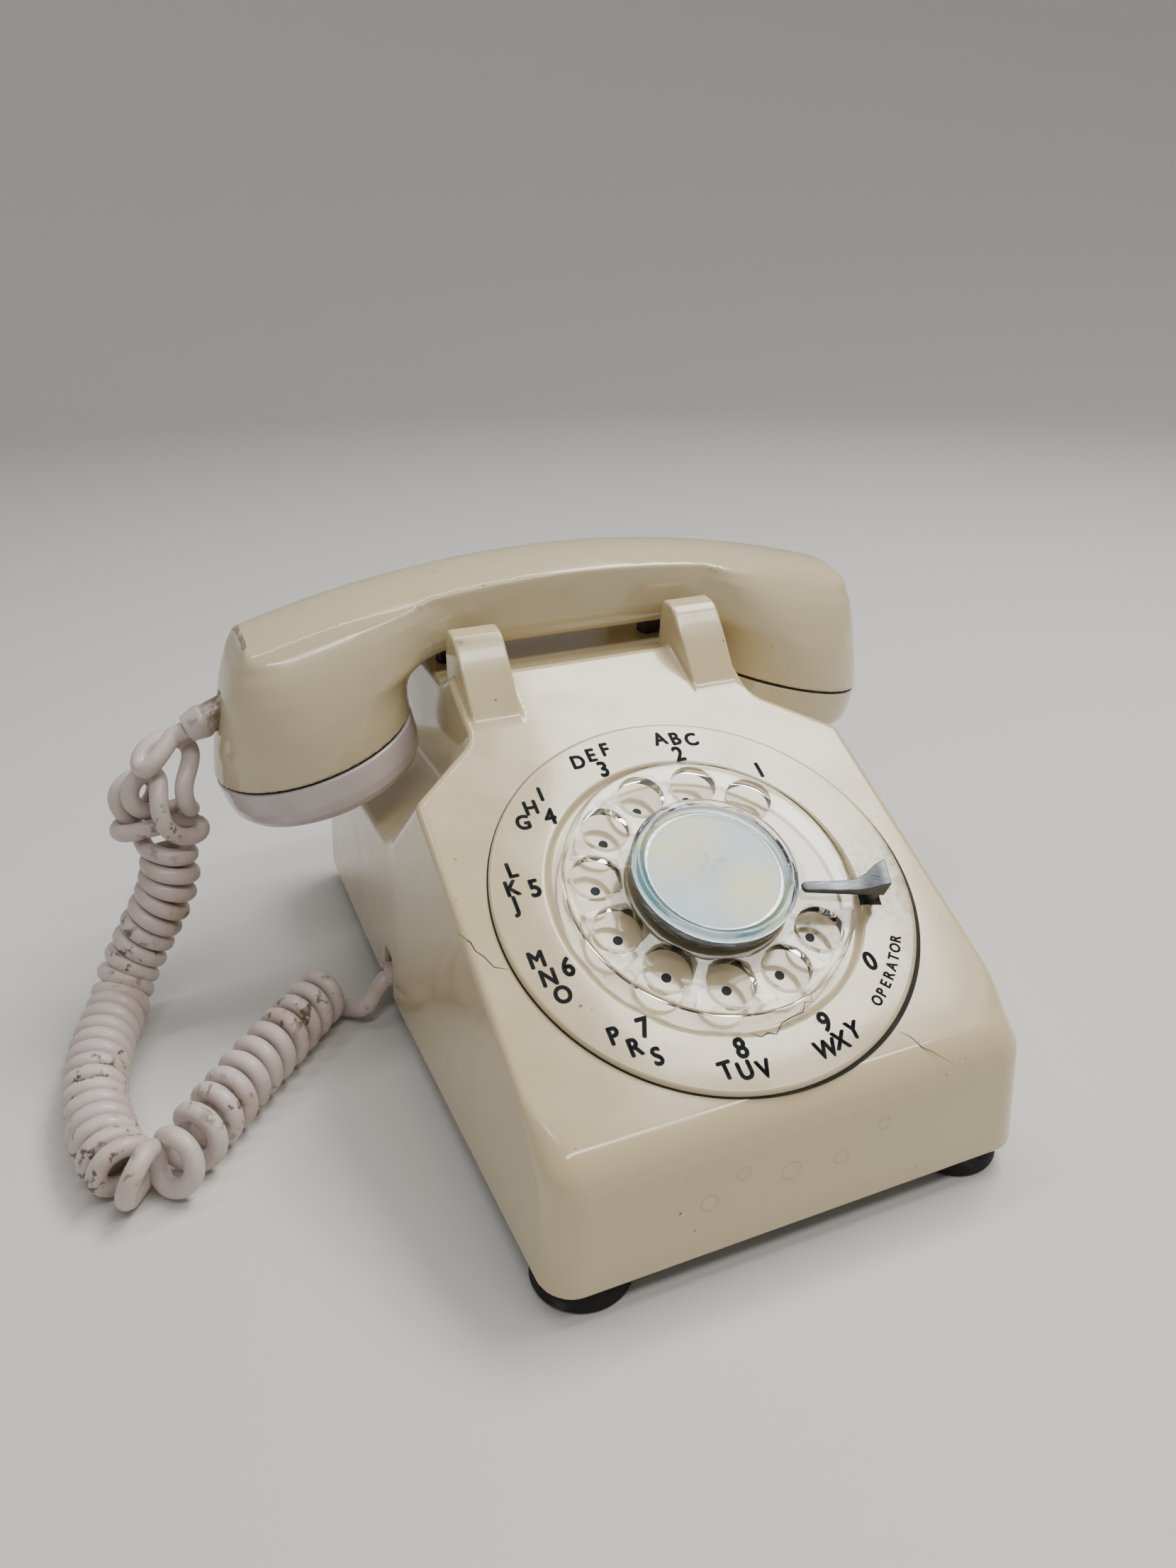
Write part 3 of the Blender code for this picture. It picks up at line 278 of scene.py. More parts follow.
def aged_plastic(name, colour, dirt_spots=(), ring_marks=(), shade=(0.60, 0.48, 0.30)):
    """Glossy moulded plastic, yellowed in patches, with specks, rubbed dirt and fine scratches."""
    mat, tree, shader = new_material(name, colour, 0.25)
    patches = ramp(tree, noise_at(tree, 14, 3), 0.35, 0.75, 0.0, 0.16)
    mixed = tint(tree, colour, shade, patches)
    cloud = ramp(tree, noise_at(tree, 55, 6, shift=(3, 1, 2)), 0.56, 0.80, 0.0, 0.16)
    mixed = tint(tree, mixed, (0.42, 0.34, 0.24), cloud)
    specks = ramp(tree, noise_at(tree, 620, 2, shift=(1, 2, 3)), 0.735, 0.765)
    where = ramp(tree, noise_at(tree, 38, 2, shift=(5, 5, 1)), 0.48, 0.62)
    mixed = tint(tree, mixed, (0.16, 0.11, 0.07), maths(tree, "MULTIPLY", specks, where))
    scuffs = ramp(tree, noise_at(tree, 90, 3, (1, 14, 14), (2, 7, 4)), 0.70, 0.78, 0.0, 0.35)
    mixed = tint(tree, mixed, (0.40, 0.33, 0.25), maths(tree, "MULTIPLY", scuffs, where))
    for point, reach, amount in dirt_spots:
        grain = ramp(tree, noise_at(tree, 420, 5, shift=(9, 4, 2)), 0.40, 0.68, 0.15, 1.0)
        share = maths(tree, "MULTIPLY", near(tree, point, reach), grain)
        mixed = tint(tree, mixed, (0.13, 0.10, 0.07), maths(tree, "MULTIPLY", share, amount))
    for point, radius in ring_marks:
        mark = maths(tree, "MULTIPLY", ring_mark(tree, point, radius, 0.0003), 0.55)
        mixed = tint(tree, mixed, (0.33, 0.27, 0.18), mark)
    tree.links.new(mixed, shader.inputs["Base Color"])
    tree.links.new(ramp(tree, noise_at(tree, 70, 5), 0.3, 0.8, 0.12, 0.30), shader.inputs["Roughness"])
    shader.inputs["Coat Weight"].default_value = 0.45
    shader.inputs["Coat Roughness"].default_value = 0.07
    shader.inputs["Subsurface Weight"].default_value = 0.04
    shader.inputs["Subsurface Radius"].default_value = (0.004, 0.002, 0.001)
    bump(tree, shader, noise_at(tree, 240, 3), 0.0002, 0.10)
    return mat


def grubby_vinyl(name, colour):
    """Soft white vinyl with a brown veil, black-brown dirt in patches, and a brown stain at the boot."""
    mat, tree, shader = new_material(name, colour, 0.36)
    veil = ramp(tree, noise_at(tree, 75, 5), 0.48, 0.72, 0.0, 0.45)
    mixed = tint(tree, colour, (0.40, 0.29, 0.18), veil)
    grime = ramp(tree, noise_at(tree, 330, 7, shift=(4, 2, 8)), 0.54, 0.64, 0.0, 0.9)
    where = ramp(tree, noise_at(tree, 48, 2, shift=(1, 1, 7)), 0.46, 0.62)
    mixed = tint(tree, mixed, (0.085, 0.055, 0.035), maths(tree, "MULTIPLY", grime, where))
    grain = ramp(tree, noise_at(tree, 520, 5), 0.38, 0.56, 0.25, 1.0)
    collar = maths(tree, "MULTIPLY", near(tree, tuple(BOOT_PLACE), BOOT_STAIN), grain)
    mixed = tint(tree, mixed, (0.14, 0.09, 0.045), collar)
    tree.links.new(mixed, shader.inputs["Base Color"])
    tree.links.new(ramp(tree, noise_at(tree, 150, 4), 0.3, 0.8, 0.26, 0.55), shader.inputs["Roughness"])
    bump(tree, shader, noise_at(tree, 300, 4), 0.0003, 0.16)
    return mat


def clear_acrylic(name):
    """See-through plastic with fine scratches: little refraction, and a glossy skin."""
    mat, tree, shader = new_material(name, (0.93, 0.93, 0.92), 0.03)
    shader.inputs["IOR"].default_value = 1.30
    shader.inputs["Transmission Weight"].default_value = 1.0
    shader.inputs["Coat Weight"].default_value = 0.25
    shader.inputs["Coat Roughness"].default_value = 0.05
    scratches = ramp(tree, noise_at(tree, 260, 3, (1, 9, 3)), 0.66, 0.80, 0.0, 0.16)
    haze = ramp(tree, noise_at(tree, 150, 4), 0.35, 0.8, 0.0, 0.04)
    tree.links.new(maths(tree, "ADD", haze, scratches), shader.inputs["Roughness"])
    bump(tree, shader, noise_at(tree, 200, 2), 0.0002, 0.10)
    return mat


def paper_card(name):
    """A pale blue-green card with two yellowed patches and a rubbed grey middle."""
    aqua, yellow, grey = (0.17, 0.42, 0.48), (0.60, 0.58, 0.14), (0.05, 0.07, 0.08)
    mat, tree, shader = new_material(name, aqua, 0.8)
    mixed = aqua
    upper, lower = dial_point(-0.006, 0.012, 0.007), dial_point(0.008, -0.009, 0.007)
    for centre, reach in ((upper, 0.017), (lower, 0.014)):
        edge = ramp(tree, noise_at(tree, 160, 3, shift=(2, 0, 1)), 0.30, 0.55, 0.5, 1.0)
        mixed = tint(tree, mixed, yellow, maths(tree, "MULTIPLY", near(tree, centre, reach), edge))
    rub = maths(
        tree, "MULTIPLY", near(tree, dial_point(-0.001, 0.002, 0.007), 0.010),
        ramp(tree, noise_at(tree, 520, 6), 0.42, 0.62, 0.0, 0.75),
    )
    mixed = tint(tree, mixed, grey, rub)
    mixed = tint(tree, mixed, grey, ramp(tree, noise_at(tree, 330, 6), 0.60, 0.80, 0.0, 0.45))
    tree.links.new(mixed, shader.inputs["Base Color"])
    bump(tree, shader, noise_at(tree, 500, 5), 0.0002, 0.2)
    return mat


def worn_metal(name, colour, roughness, grain=(1, 1, 30)):
    """Metal with darker worn patches and a grain that is stretched along one axis."""
    mat, tree, shader = new_material(name, colour, roughness, 1.0)
    darker = tuple(0.55 * part for part in colour)
    mixed = tint(tree, colour, darker, ramp(tree, noise_at(tree, 160, 5), 0.42, 0.75, 0.0, 0.8))
    tree.links.new(mixed, shader.inputs["Base Color"])
    rough = ramp(tree, noise_at(tree, 180, 4, grain), 0.3, 0.75, roughness - 0.08, roughness + 0.16)
    tree.links.new(rough, shader.inputs["Roughness"])
    bump(tree, shader, noise_at(tree, 420, 3, grain), 0.0001, 0.12)
    return mat


def dark_moulding(name, colour, roughness, dusty=0.35):
    """Dark plastic, rubber, print, crack lines or the painted shade in gaps, with grey dust in patches."""
    mat, tree, shader = new_material(name, colour, roughness)
    shader.inputs["Specular IOR Level"].default_value = 0.25
    dust = ramp(tree, noise_at(tree, 120, 5), 0.45, 0.8, 0.0, dusty)
    tree.links.new(tint(tree, colour, (0.20, 0.18, 0.16), dust), shader.inputs["Base Color"])
    bump(tree, shader, noise_at(tree, 500, 4), 0.0002, 0.25)
    return mat


def winding(name):
    """Enamelled copper wire wound in close turns."""
    copper, shadow = (0.50, 0.20, 0.09), (0.20, 0.07, 0.03)
    mat, tree, shader = new_material(name, copper, 0.3, 0.6)
    wave = node(tree, "ShaderNodeTexWave", Scale=700.0)
    wave.bands_direction = "Y"
    tree.links.new(place_of(tree), wave.inputs["Vector"])
    tree.links.new(tint(tree, copper, shadow, wave.outputs["Fac"]), shader.inputs["Base Color"])
    bump(tree, shader, wave.outputs["Fac"], 0.0002, 0.5)
    return mat


def dial_point(x, up, height=0.0):
    """A place on the sloping dial: to its right, up its slope, and out of it."""
    return tuple(dial_frame @ Vector((x, up, height)))


# Dirt and chips as place, reach and strength, and the rings of dried drops as place and radius
stop_grime = [
    (dial_point(0.046, -0.014), 0.014, 0.85),
    (dial_point(0.047, -0.003), 0.017, 0.60),
    (dial_point(0.0215, -0.0215, -0.002), 0.011, 0.90),
    (dial_point(0.0300, -0.0040, -0.002), 0.014, 0.35),
    (dial_point(0.050, -0.034), 0.018, 0.35),
    (dial_point(0.005, -0.041), 0.010, 0.25),
]
horn_chips = [
    ((-0.0410, 0.0190, 0.1207), 0.0022, 1.0),
    ((-0.0300, 0.0270, 0.1222), 0.0018, 1.0),
    ((0.0290, 0.0192, 0.1207), 0.0018, 1.0),
    ((0.0405, 0.0280, 0.1215), 0.0018, 0.9),
    ((-0.0700, 0.0190, 0.0200), 0.0060, 0.8),
]
dried_drops = [
    ((x, -0.1130, z), radius)
    for x, z, radius in (
        (-0.0270, 0.0235, 0.0022), (-0.0180, 0.0290, 0.0018), (-0.0050, 0.0250, 0.0025),
        (0.0090, 0.0240, 0.0020), (0.0210, 0.0300, 0.0016),
    )
]
CREAM = (0.63, 0.52, 0.315)
looks = {
    "body": aged_plastic("aged_cream_plastic", CREAM, horn_chips, dried_drops),
    "plate": aged_plastic("number_plate_plastic", (0.64, 0.53, 0.33), stop_grime),
    "handset": aged_plastic("aged_handset_plastic", (0.60, 0.51, 0.33)),
    "lilac": aged_plastic("pale_lilac_plastic", (0.58, 0.51, 0.52), shade=(0.52, 0.42, 0.38)),
    "cord": grubby_vinyl("grubby_cord_vinyl", (0.60, 0.51, 0.49)),
    "clear": clear_acrylic("clear_acrylic_worn"),
    "card": paper_card("stained_card"),
    "ink": dark_moulding("printed_ink", (0.008, 0.010, 0.014), 0.55, 0.05),
    # Near-black for the painted shade in the gaps round the plate and under the caps, and for the hairline
    # cracks
    "gap": dark_moulding("painted_gap_shade_and_cracks", (0.018, 0.020, 0.014), 0.7, 0.15),
    "stop": worn_metal("finger_stop_metal", (0.135, 0.145, 0.155), 0.38),
    "steel": worn_metal("plated_steel", (0.56, 0.56, 0.57), 0.32),
    "chrome": worn_metal("dull_chrome", (0.20, 0.22, 0.26), 0.22),
    "zinc": worn_metal("die_cast_zinc", (0.46, 0.47, 0.49), 0.45, (1, 1, 1)),
    "brass": worn_metal("worn_brass", (0.66, 0.48, 0.22), 0.28, (1, 1, 1)),
    "copper": winding("copper_winding"),
    "black": dark_moulding("black_moulding", (0.02, 0.02, 0.02), 0.42),
    "rubber": dark_moulding("black_rubber", (0.015, 0.015, 0.015), 0.7),
}


# ---- Making meshes ----

def add_object(name, mesh, look, smooth_angle=35):
    smooth_faces(mesh, smooth_angle)
    obj = bpy.data.objects.new(name, mesh)
    bpy.context.scene.collection.objects.link(obj)
    mesh.materials.clear()
    mesh.materials.append(looks[look])
    return obj


def finished_mesh(bm, name, flip=True):
    """The mesh of a bmesh, which is freed. Its faces are turned outward unless flip is off."""
    if flip:
        bmesh.ops.recalc_face_normals(bm, faces=bm.faces)
    mesh = bpy.data.meshes.new(name)
    bm.to_mesh(mesh)
    bm.free()
    return mesh


def join_rows(bm, rows, closed=False):
    """Walls between rows of the same number of corners: a closed loop, or a run with two flat ends."""
    for here, ahead in zip(rows, rows[1:] + (rows[:1] if closed else [])):
        for i in range(len(here)):
            j = (i + 1) % len(here)
            bm.faces.new((here[i], ahead[i], ahead[j], here[j]))
    if not closed:
        bm.faces.new(rows[0])
        bm.faces.new(rows[-1])


def arc(centre, radius, start, end, count):
    angles = [start + (end - start) * i / (count - 1) for i in range(count)]
    return [(centre[0] + radius * cos(a), centre[1] + radius * sin(a)) for a in angles]


def rounded(outline, radius, steps=3):
    """Replaces each corner of an open outline but its ends by a small arc."""
    made = [outline[0]]
    for before, corner, after in zip(outline, outline[1:], outline[2:]):
        here = Vector(corner)
        back, ahead = Vector(before) - here, Vector(after) - here
        reach = min(radius, 0.45 * back.length, 0.45 * ahead.length)
        first, last = here + back.normalized() * reach, here + ahead.normalized() * reach
        for i in range(steps + 1):
            t = i / steps
            point = (1 - t) ** 2 * first + 2 * t * (1 - t) * here + t * t * last
            made.append((point.x, point.y))
    return made + [outline[-1]]


def turned_mesh(name, outline, steps, ring=False):
    """The surface that an outline of (radius, height) sweeps round Z."""
    bm = bmesh.new()
    points = [bm.verts.new((radius, 0, height)) for radius, height in outline]
    pairs = list(zip(points, points[1:])) + ([(points[-1], points[0])] if ring else [])
    edges = [bm.edges.new(pair) for pair in pairs]
    bmesh.ops.spin(
        bm, geom=points + edges, axis=(0, 0, 1), cent=(0, 0, 0), angle=2 * pi, steps=steps, use_merge=True
    )
    bmesh.ops.remove_doubles(bm, verts=bm.verts, dist=1e-7)
    return finished_mesh(bm, name)


def lathe(name, profile, look, steps=96, place=Matrix(), edge=0.0004, smooth_angle=50):
    """A turned solid with rounded edges. An outline off the axis is closed."""
    ring = profile[0][0] > 1e-6
    outline = rounded([*profile, profile[0]] if ring else profile, edge)
    if ring:
        outline = outline[1:-1] + [profile[0]]
    mesh = turned_mesh(name, outline, steps, ring)
    mesh.transform(place)
    return add_object(name, mesh, look, smooth_angle)


def apply_modifiers(obj):
    """Turns an object's modifiers into its mesh."""
    graph = bpy.context.evaluated_depsgraph_get()
    mesh = bpy.data.meshes.new_from_object(obj.evaluated_get(graph), depsgraph=graph)
    obj.modifiers.clear()
    obj.data = mesh
    return obj


def drop(obj):
    bpy.data.objects.remove(obj, do_unlink=True)


def smooth_faces(mesh, degrees):
    """Shades a mesh smooth, apart from edges sharper than an angle."""
    mesh.shade_smooth()
    mesh.set_sharp_from_angle(angle=radians(degrees))


def add_bevel(obj, width, segments, degrees):
    bevel = obj.modifiers.new("edges", "BEVEL")
    bevel.width = width
    bevel.segments = segments
    bevel.limit_method = "ANGLE"
    bevel.angle_limit = radians(degrees)


def subtract(obj, cutters, bevel=0.0, segments=2):
    """Cuts other objects out of one, rounds its edges if asked, and drops the cutters."""
    for cutter in cutters:
        modifier = obj.modifiers.new("cut", "BOOLEAN")
        modifier.operation = "DIFFERENCE"
        modifier.object = cutter
    if bevel:
        add_bevel(obj, bevel, segments, 40)
    apply_modifiers(obj)
    for cutter in cutters:
        drop(cutter)
    return obj


# ---- Forms given by a distance field, which a fine mesh is drawn onto ----

def round_max(a, b, radius):
    """Intersection of two forms with a rounded edge."""
    corner = np.hypot(np.maximum(a + radius, 0), np.maximum(b + radius, 0))
    return np.minimum(np.maximum(a, b), -radius) + corner


def round_min(a, b, radius):
    """Union of two forms with a rounded inner corner."""
    return -round_max(-a, -b, radius)


def soft_min(a, b, reach):
    """Union of two forms that flow into each other."""
    h = np.maximum(reach - np.abs(a - b), 0) / reach
    return np.minimum(a, b) - h * h * reach / 4


def line_side(u, v, first, second):
    """Signed distance of (u, v) to the right of the line from first to second."""
    du, dv = second[0] - first[0], second[1] - first[1]
    length = (du * du + dv * dv) ** 0.5
    return ((u - first[0]) * dv - (v - first[1]) * du) / length


def step_between(value, low, high):
    """0 below low, 1 above high, and a smooth rise between."""
    t = np.clip((value - low) / (high - low), 0, 1)
    return t * t * (3 - 2 * t)


def face_height(y):
    """Height of the housing's sloping face."""
    face_y = DIAL_CENTRE.y + FACE_BELOW_PLATE * sin(DIAL_SLOPE)
    return DIAL_CENTRE.z - FACE_BELOW_PLATE * cos(DIAL_SLOPE) + (y - face_y) * tan(DIAL_SLOPE)


NECK_TOP = (NECK_TOP_Y, face_height(NECK_TOP_Y))


def past_outline(y, z, outline, radii):
    """Distance outside the corners of an outline of (Y, Z), each rounded by its own radius."""
    form = -line_side(y, z, outline[0], outline[1])
    for (first, second), radius in zip(zip(outline[1:], outline[2:]), radii):
        form = round_max(form, -line_side(y, z, first, second), radius)
    return form


def wedge_field(x, y, z):
    """Distance outside the wedge that the housing is cut from."""
    lip = (-HALF_DEPTH + 0.0017, face_height(-HALF_DEPTH + 0.0017))
    front = -line_side(y, z, (-HALF_DEPTH, UNDERSIDE), lip)
    face = -line_side(y, z, lip, NECK_TOP)
    rear = past_outline(y, z, BACK_OUTLINE, (0.0022, 0.0010, 0.0012))
    profile = np.maximum(round_max(front, face, 0.0065), rear)
    widest = FRONT_HALF_WIDTH + (REAR_HALF_WIDTH - FRONT_HALF_WIDTH) * (y + HALF_DEPTH) / 0.12
    side = np.maximum(x - widest, x - REAR_HALF_WIDTH) + DRAFT * z
    corner = 0.0018 + 0.0072 * step_between(-y, 0.092, 0.108) + 0.0050 * step_between(y, 0.080, 0.104)
    return round_max(round_max(profile, side, corner), UNDERSIDE - z, 0.0010)


def trough_field(y, z):
    """Distance inside the trough between the front and rear horns."""
    floor = np.maximum(TROUGH_FLOOR - z, TROUGH_FLOOR + (y - 0.0698) * 0.208 - z)
    return -round_max(floor, line_side(y, z, NECK_TOP, (0.0290, TROUGH_FLOOR)), 0.0015)


def notch_field(x, y, z):
    """Distance inside the notch beside the neck, above its shelf and behind its slanted facet."""
    low = Vector((0.0655, -0.0166, face_height(-0.0166)))
    high = Vector((0.0460, -0.0014, face_height(-0.0014)))
    fold = Vector((0.0670, 0.0150, 0.0620))
    facet = (high - low).cross(fold - low).normalized()
    facet = facet if facet.y > 0 else -facet
    ledge = Vector((0.36, 0.06, 1.0)).normalized()
    q = np.stack([x, y, z], axis=1)
    slant = -(q - np.array(low)) @ np.array(facet)
    shelf = -(q - np.array(fold)) @ np.array(ledge)
    return -round_max(round_max(slant, shelf, 0.0030), NECK_HALF_WIDTH - x, 0.0030)


def housing_field(p):
    """Distance outside the housing's outer form."""
    x, y, z = np.abs(p[:, 0]), p[:, 1], p[:, 2]
    form = round_max(wedge_field(x, y, z), trough_field(y, z), 0.0016)
    form = round_max(form, notch_field(x, y, z), 0.0016)
    for outline in HORN_OUTLINES:
        horn = past_outline(y, z, outline, [0.0020] * 4)
        horn = round_max(horn, np.abs(x - HORN_MIDDLE) - HORN_HALF, 0.0010)
        horn = np.maximum(horn, outline[-1][1] - z)
        form = round_min(form, horn, 0.0010)
    return form


def smooth_table(table, value):
    """Each column of a table at a value of its first column, on smooth curves."""
    at, rows = table[:, 0], table[:, 1:]
    slope = np.gradient(rows, at, axis=0)
    i = np.clip(np.searchsorted(at, value) - 1, 0, len(at) - 2)
    span = at[i + 1] - at[i]
    t = np.clip((value - at[i]) / span, 0, 1)[:, None]
    span = span[:, None]
    return (
        (1 + 2 * t) * (1 - t) ** 2 * rows[i] + t * (1 - t) ** 2 * slope[i] * span
        + t * t * (3 - 2 * t) * rows[i + 1] + t * t * (t - 1) * slope[i + 1] * span
    )


def handset_field(p):
    """Distance outside the handset's outer form, for the handle and both cups."""
    x, y, z = np.abs(p[:, 0]), np.abs(p[:, 1] - HANDSET_Y), p[:, 2]
    top = HANDLE_TOP - 1.5 * x * x
    crown = (z - top + SHOULDER * (y / HANDLE_HALF_WIDTH) ** 2.4) * 0.96
    wall = y - HANDLE_HALF_WIDTH + 0.09 * np.maximum(top - SHOULDER - z, 0)
    bevel = 0.764 * (y - 0.0120) - 0.645 * (z - HANDLE_UNDERSIDE)
    handle = round_max(wall, round_max(bevel, HANDLE_UNDERSIDE - z, 0.0015), 0.0020)
    handle = np.maximum(handle, x - 0.0930)

    out = x - CAP_X
    rise = z - CAP_Z + out * tan(CAP_TILT)
    outward, inward, across, power = smooth_table(CUP_SECTIONS, rise).T
    reach = np.where(out > 0, outward, inward)
    ratio = (np.abs(out / reach) ** power + (y / across) ** power + 1e-12) ** (1 / power)
    cup = (ratio - 1) * np.minimum(reach, across)
    cup = round_max(cup, -rise * cos(CAP_TILT), 0.0006)
    depth = np.clip((top - 0.0050 - z) / 0.0120, 0, 1)
    body = soft_min(handle, cup, 0.0004 + 0.0095 * depth)
    return round_max(body, crown, 0.0009)


def gradient(field, points):
    """The slope of a field at each point, by central differences."""
    step = 2e-5
    slopes = []
    for axis in range(3):
        shift = np.zeros(3)
        shift[axis] = step
        slopes.append((field(points + shift) - field(points - shift)) / (2 * step))
    return np.stack(slopes, axis=1)


def unit_rows(rows):
    return rows / np.maximum(np.linalg.norm(rows, axis=1, keepdims=True), 1e-9)


def fine_copy(name, cad, voxel):
    """A CAD node's form in small, even faces."""
    obj = bpy.data.objects.new(name, nodes[cad].data.copy())
    bpy.context.scene.collection.objects.link(obj)
    remesh = obj.modifiers.new("remesh", "REMESH")
    remesh.mode = "VOXEL"
    remesh.voxel_size = voxel
    return apply_modifiers(obj)


def drawn_onto(name, cad, field, voxel, look, inside=0.0016, outside=0.0045):
    """A fine copy of a CAD node whose outer skin lies on a distance field."""
    obj = fine_copy(name, cad, voxel)
    mesh = obj.data
    count = len(mesh.vertices)
    points, normals = np.empty(count * 3, np.float32), np.empty(count * 3, np.float32)
    mesh.vertices.foreach_get("co", points)
    mesh.vertex_normals.foreach_get("vector", normals)
    points, normals = points.reshape(-1, 3).astype(float), normals.reshape(-1, 3).astype(float)
    value = field(points)
    facing = (unit_rows(gradient(field, points)) * normals).sum(axis=1)
    outer = (value > -inside) & (value < outside) & (facing > 0.55)
    moved = points[outer]
    for _ in range(7):
        slope = gradient(field, moved)
        size = np.maximum((slope**2).sum(axis=1, keepdims=True), 0.05)
        moved -= np.clip(field(moved)[:, None] / size, -0.001, 0.001) * slope
    points[outer] = moved
    mesh.vertices.foreach_set("co", points.astype(np.float32).ravel())
    mesh.update()
    mesh.shade_smooth()
    shown = np.empty(count * 3, np.float32)
    mesh.vertex_normals.foreach_get("vector", shown)
    shown = shown.reshape(-1, 3)
    shown[outer] = unit_rows(gradient(field, moved))
    mesh.normals_split_custom_set_from_vertices([tuple(row) for row in shown])
    mesh.materials.clear()
    mesh.materials.append(looks[look])
    return obj


# ---- The body and the dial ----

def make_body():
    shell = drawn_onto("housing_shell", "housing", housing_field, 0.0010, "body")
    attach(shell, "base")
    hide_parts("housing")


def make_plate():
    """The number plate: a raised rim, a dished middle and a slot for the finger stop."""
    rim = PLATE_RADIUS
    outer = [(rim - 0.0031, -0.0044), (rim - 0.0031, -0.0015), (rim, -0.0015), (rim, -0.0011)]
    outer += arc((rim - 0.0011, -0.0011), 0.0011, 0, pi / 2, 6)[1:]
    dish = [(0.0432, 0), (0.0424, -0.0002), (0.0414, -0.0014), (0.0406, -0.0016)]
    profile = outer + dish + [(0.0062, -0.0016), (0.0062, -0.0044)]
    plate = lathe("dial_number_plate", profile, "plate", 128, edge=0.0003)
    bm = bmesh.new()
    bmesh.ops.create_cube(bm, size=1.0)
    bmesh.ops.scale(bm, verts=bm.verts, vec=(0.0058, 0.0080, 0.0200))
    bmesh.ops.translate(bm, verts=bm.verts, vec=(0.0449, 0, 0))
    bmesh.ops.rotate(bm, verts=bm.verts, matrix=Matrix.Rotation(STOP_ANGLE, 3, "Z"))
    slot = bpy.data.objects.new("slot", finished_mesh(bm, "slot", flip=False))
    bpy.context.scene.collection.objects.link(slot)
    subtract(plate, [slot])
    plate.data.transform(dial_frame)
    smooth_faces(plate.data, 40)
    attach(plate, "base")
    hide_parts("number_plate")


def make_gap_shadow():
    """A dark ring of painted shadow in the gap round the number plate, widest low on the right."""
    bm = bmesh.new()
    rows = []
    steps = 160
    inner, outer = PLATE_RADIUS - 0.00095, PLATE_RADIUS + 0.00025
    for i in range(steps):
        angle = 2 * pi * i / steps
        # Painted shadow: the ring reaches a little further out up on the right, and furthest low on the
        # right.
        above = max(0.0, cos(angle - radians(58)))
        below = max(0.0, cos(angle + radians(38)))
        reach = outer + 0.0004 * above + 0.0011 * below**3
        section = ((inner, -0.0019), (inner, -0.0013), (reach, -0.0015), (reach + 0.0001, -0.0019))
        across, up = cos(angle), sin(angle)
        rows.append([bm.verts.new((radius * across, radius * up, height)) for radius, height in section])
    join_rows(bm, rows, closed=True)
    mesh = finished_mesh(bm, "plate_gap_painted_shadow")
    mesh.transform(dial_frame)
    ring = add_object("plate_gap_painted_shadow", mesh, "gap")
    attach(ring, "base")


def make_cracks():
    """Hairline cracks in the plate and in the sloping face, as thin dark lines."""
    on_plate, on_face, thickness = 0.00002, -0.00178, 0.00003
    lines = (
        (on_plate, 0.00012, [
            (-6.9, -41.5), (-4.8, -43.0), (-2.8, -42.4), (-0.9, -43.4), (1.6, -41.2), (4.9, -40.3),
            (8.4, -39.9), (10.1, -37.6), (11.9, -37.9), (13.0, -35.4),
        ]),
        (on_face, 0.00010, [(31.0, -50.9), (33.2, -53.0), (34.6, -56.3), (36.5, -58.0), (40.0, -62.5)]),
        (on_face, 0.00012, [
            (-66.2, 4.3), (-64.0, 1.2), (-63.5, -1.6), (-62.0, -3.6), (-60.6, -6.9), (-57.4, -8.5),
        ]),
    )
    rise = Vector((0, 0, thickness))
    bm = bmesh.new()
    for height, width, points in lines:
        places = [Vector((x * 0.001, up * 0.001, height)) for x, up in points]
        last = len(places) - 1
        rows = []
        for i, place in enumerate(places):
            along = places[min(i + 1, last)] - places[max(i - 1, 0)]
            half = width * (0.35 if i in (0, last) else 1)
            side = Vector((-along.y, along.x, 0)).normalized() * half
            rows.append([bm.verts.new(place + offset) for offset in (side, side + rise, rise - side, -side)])
        join_rows(bm, rows)
    mesh = finished_mesh(bm, "hairline_cracks")
    mesh.transform(dial_frame)
    cracks = add_object("hairline_cracks", mesh, "gap")
    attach(cracks, "base")


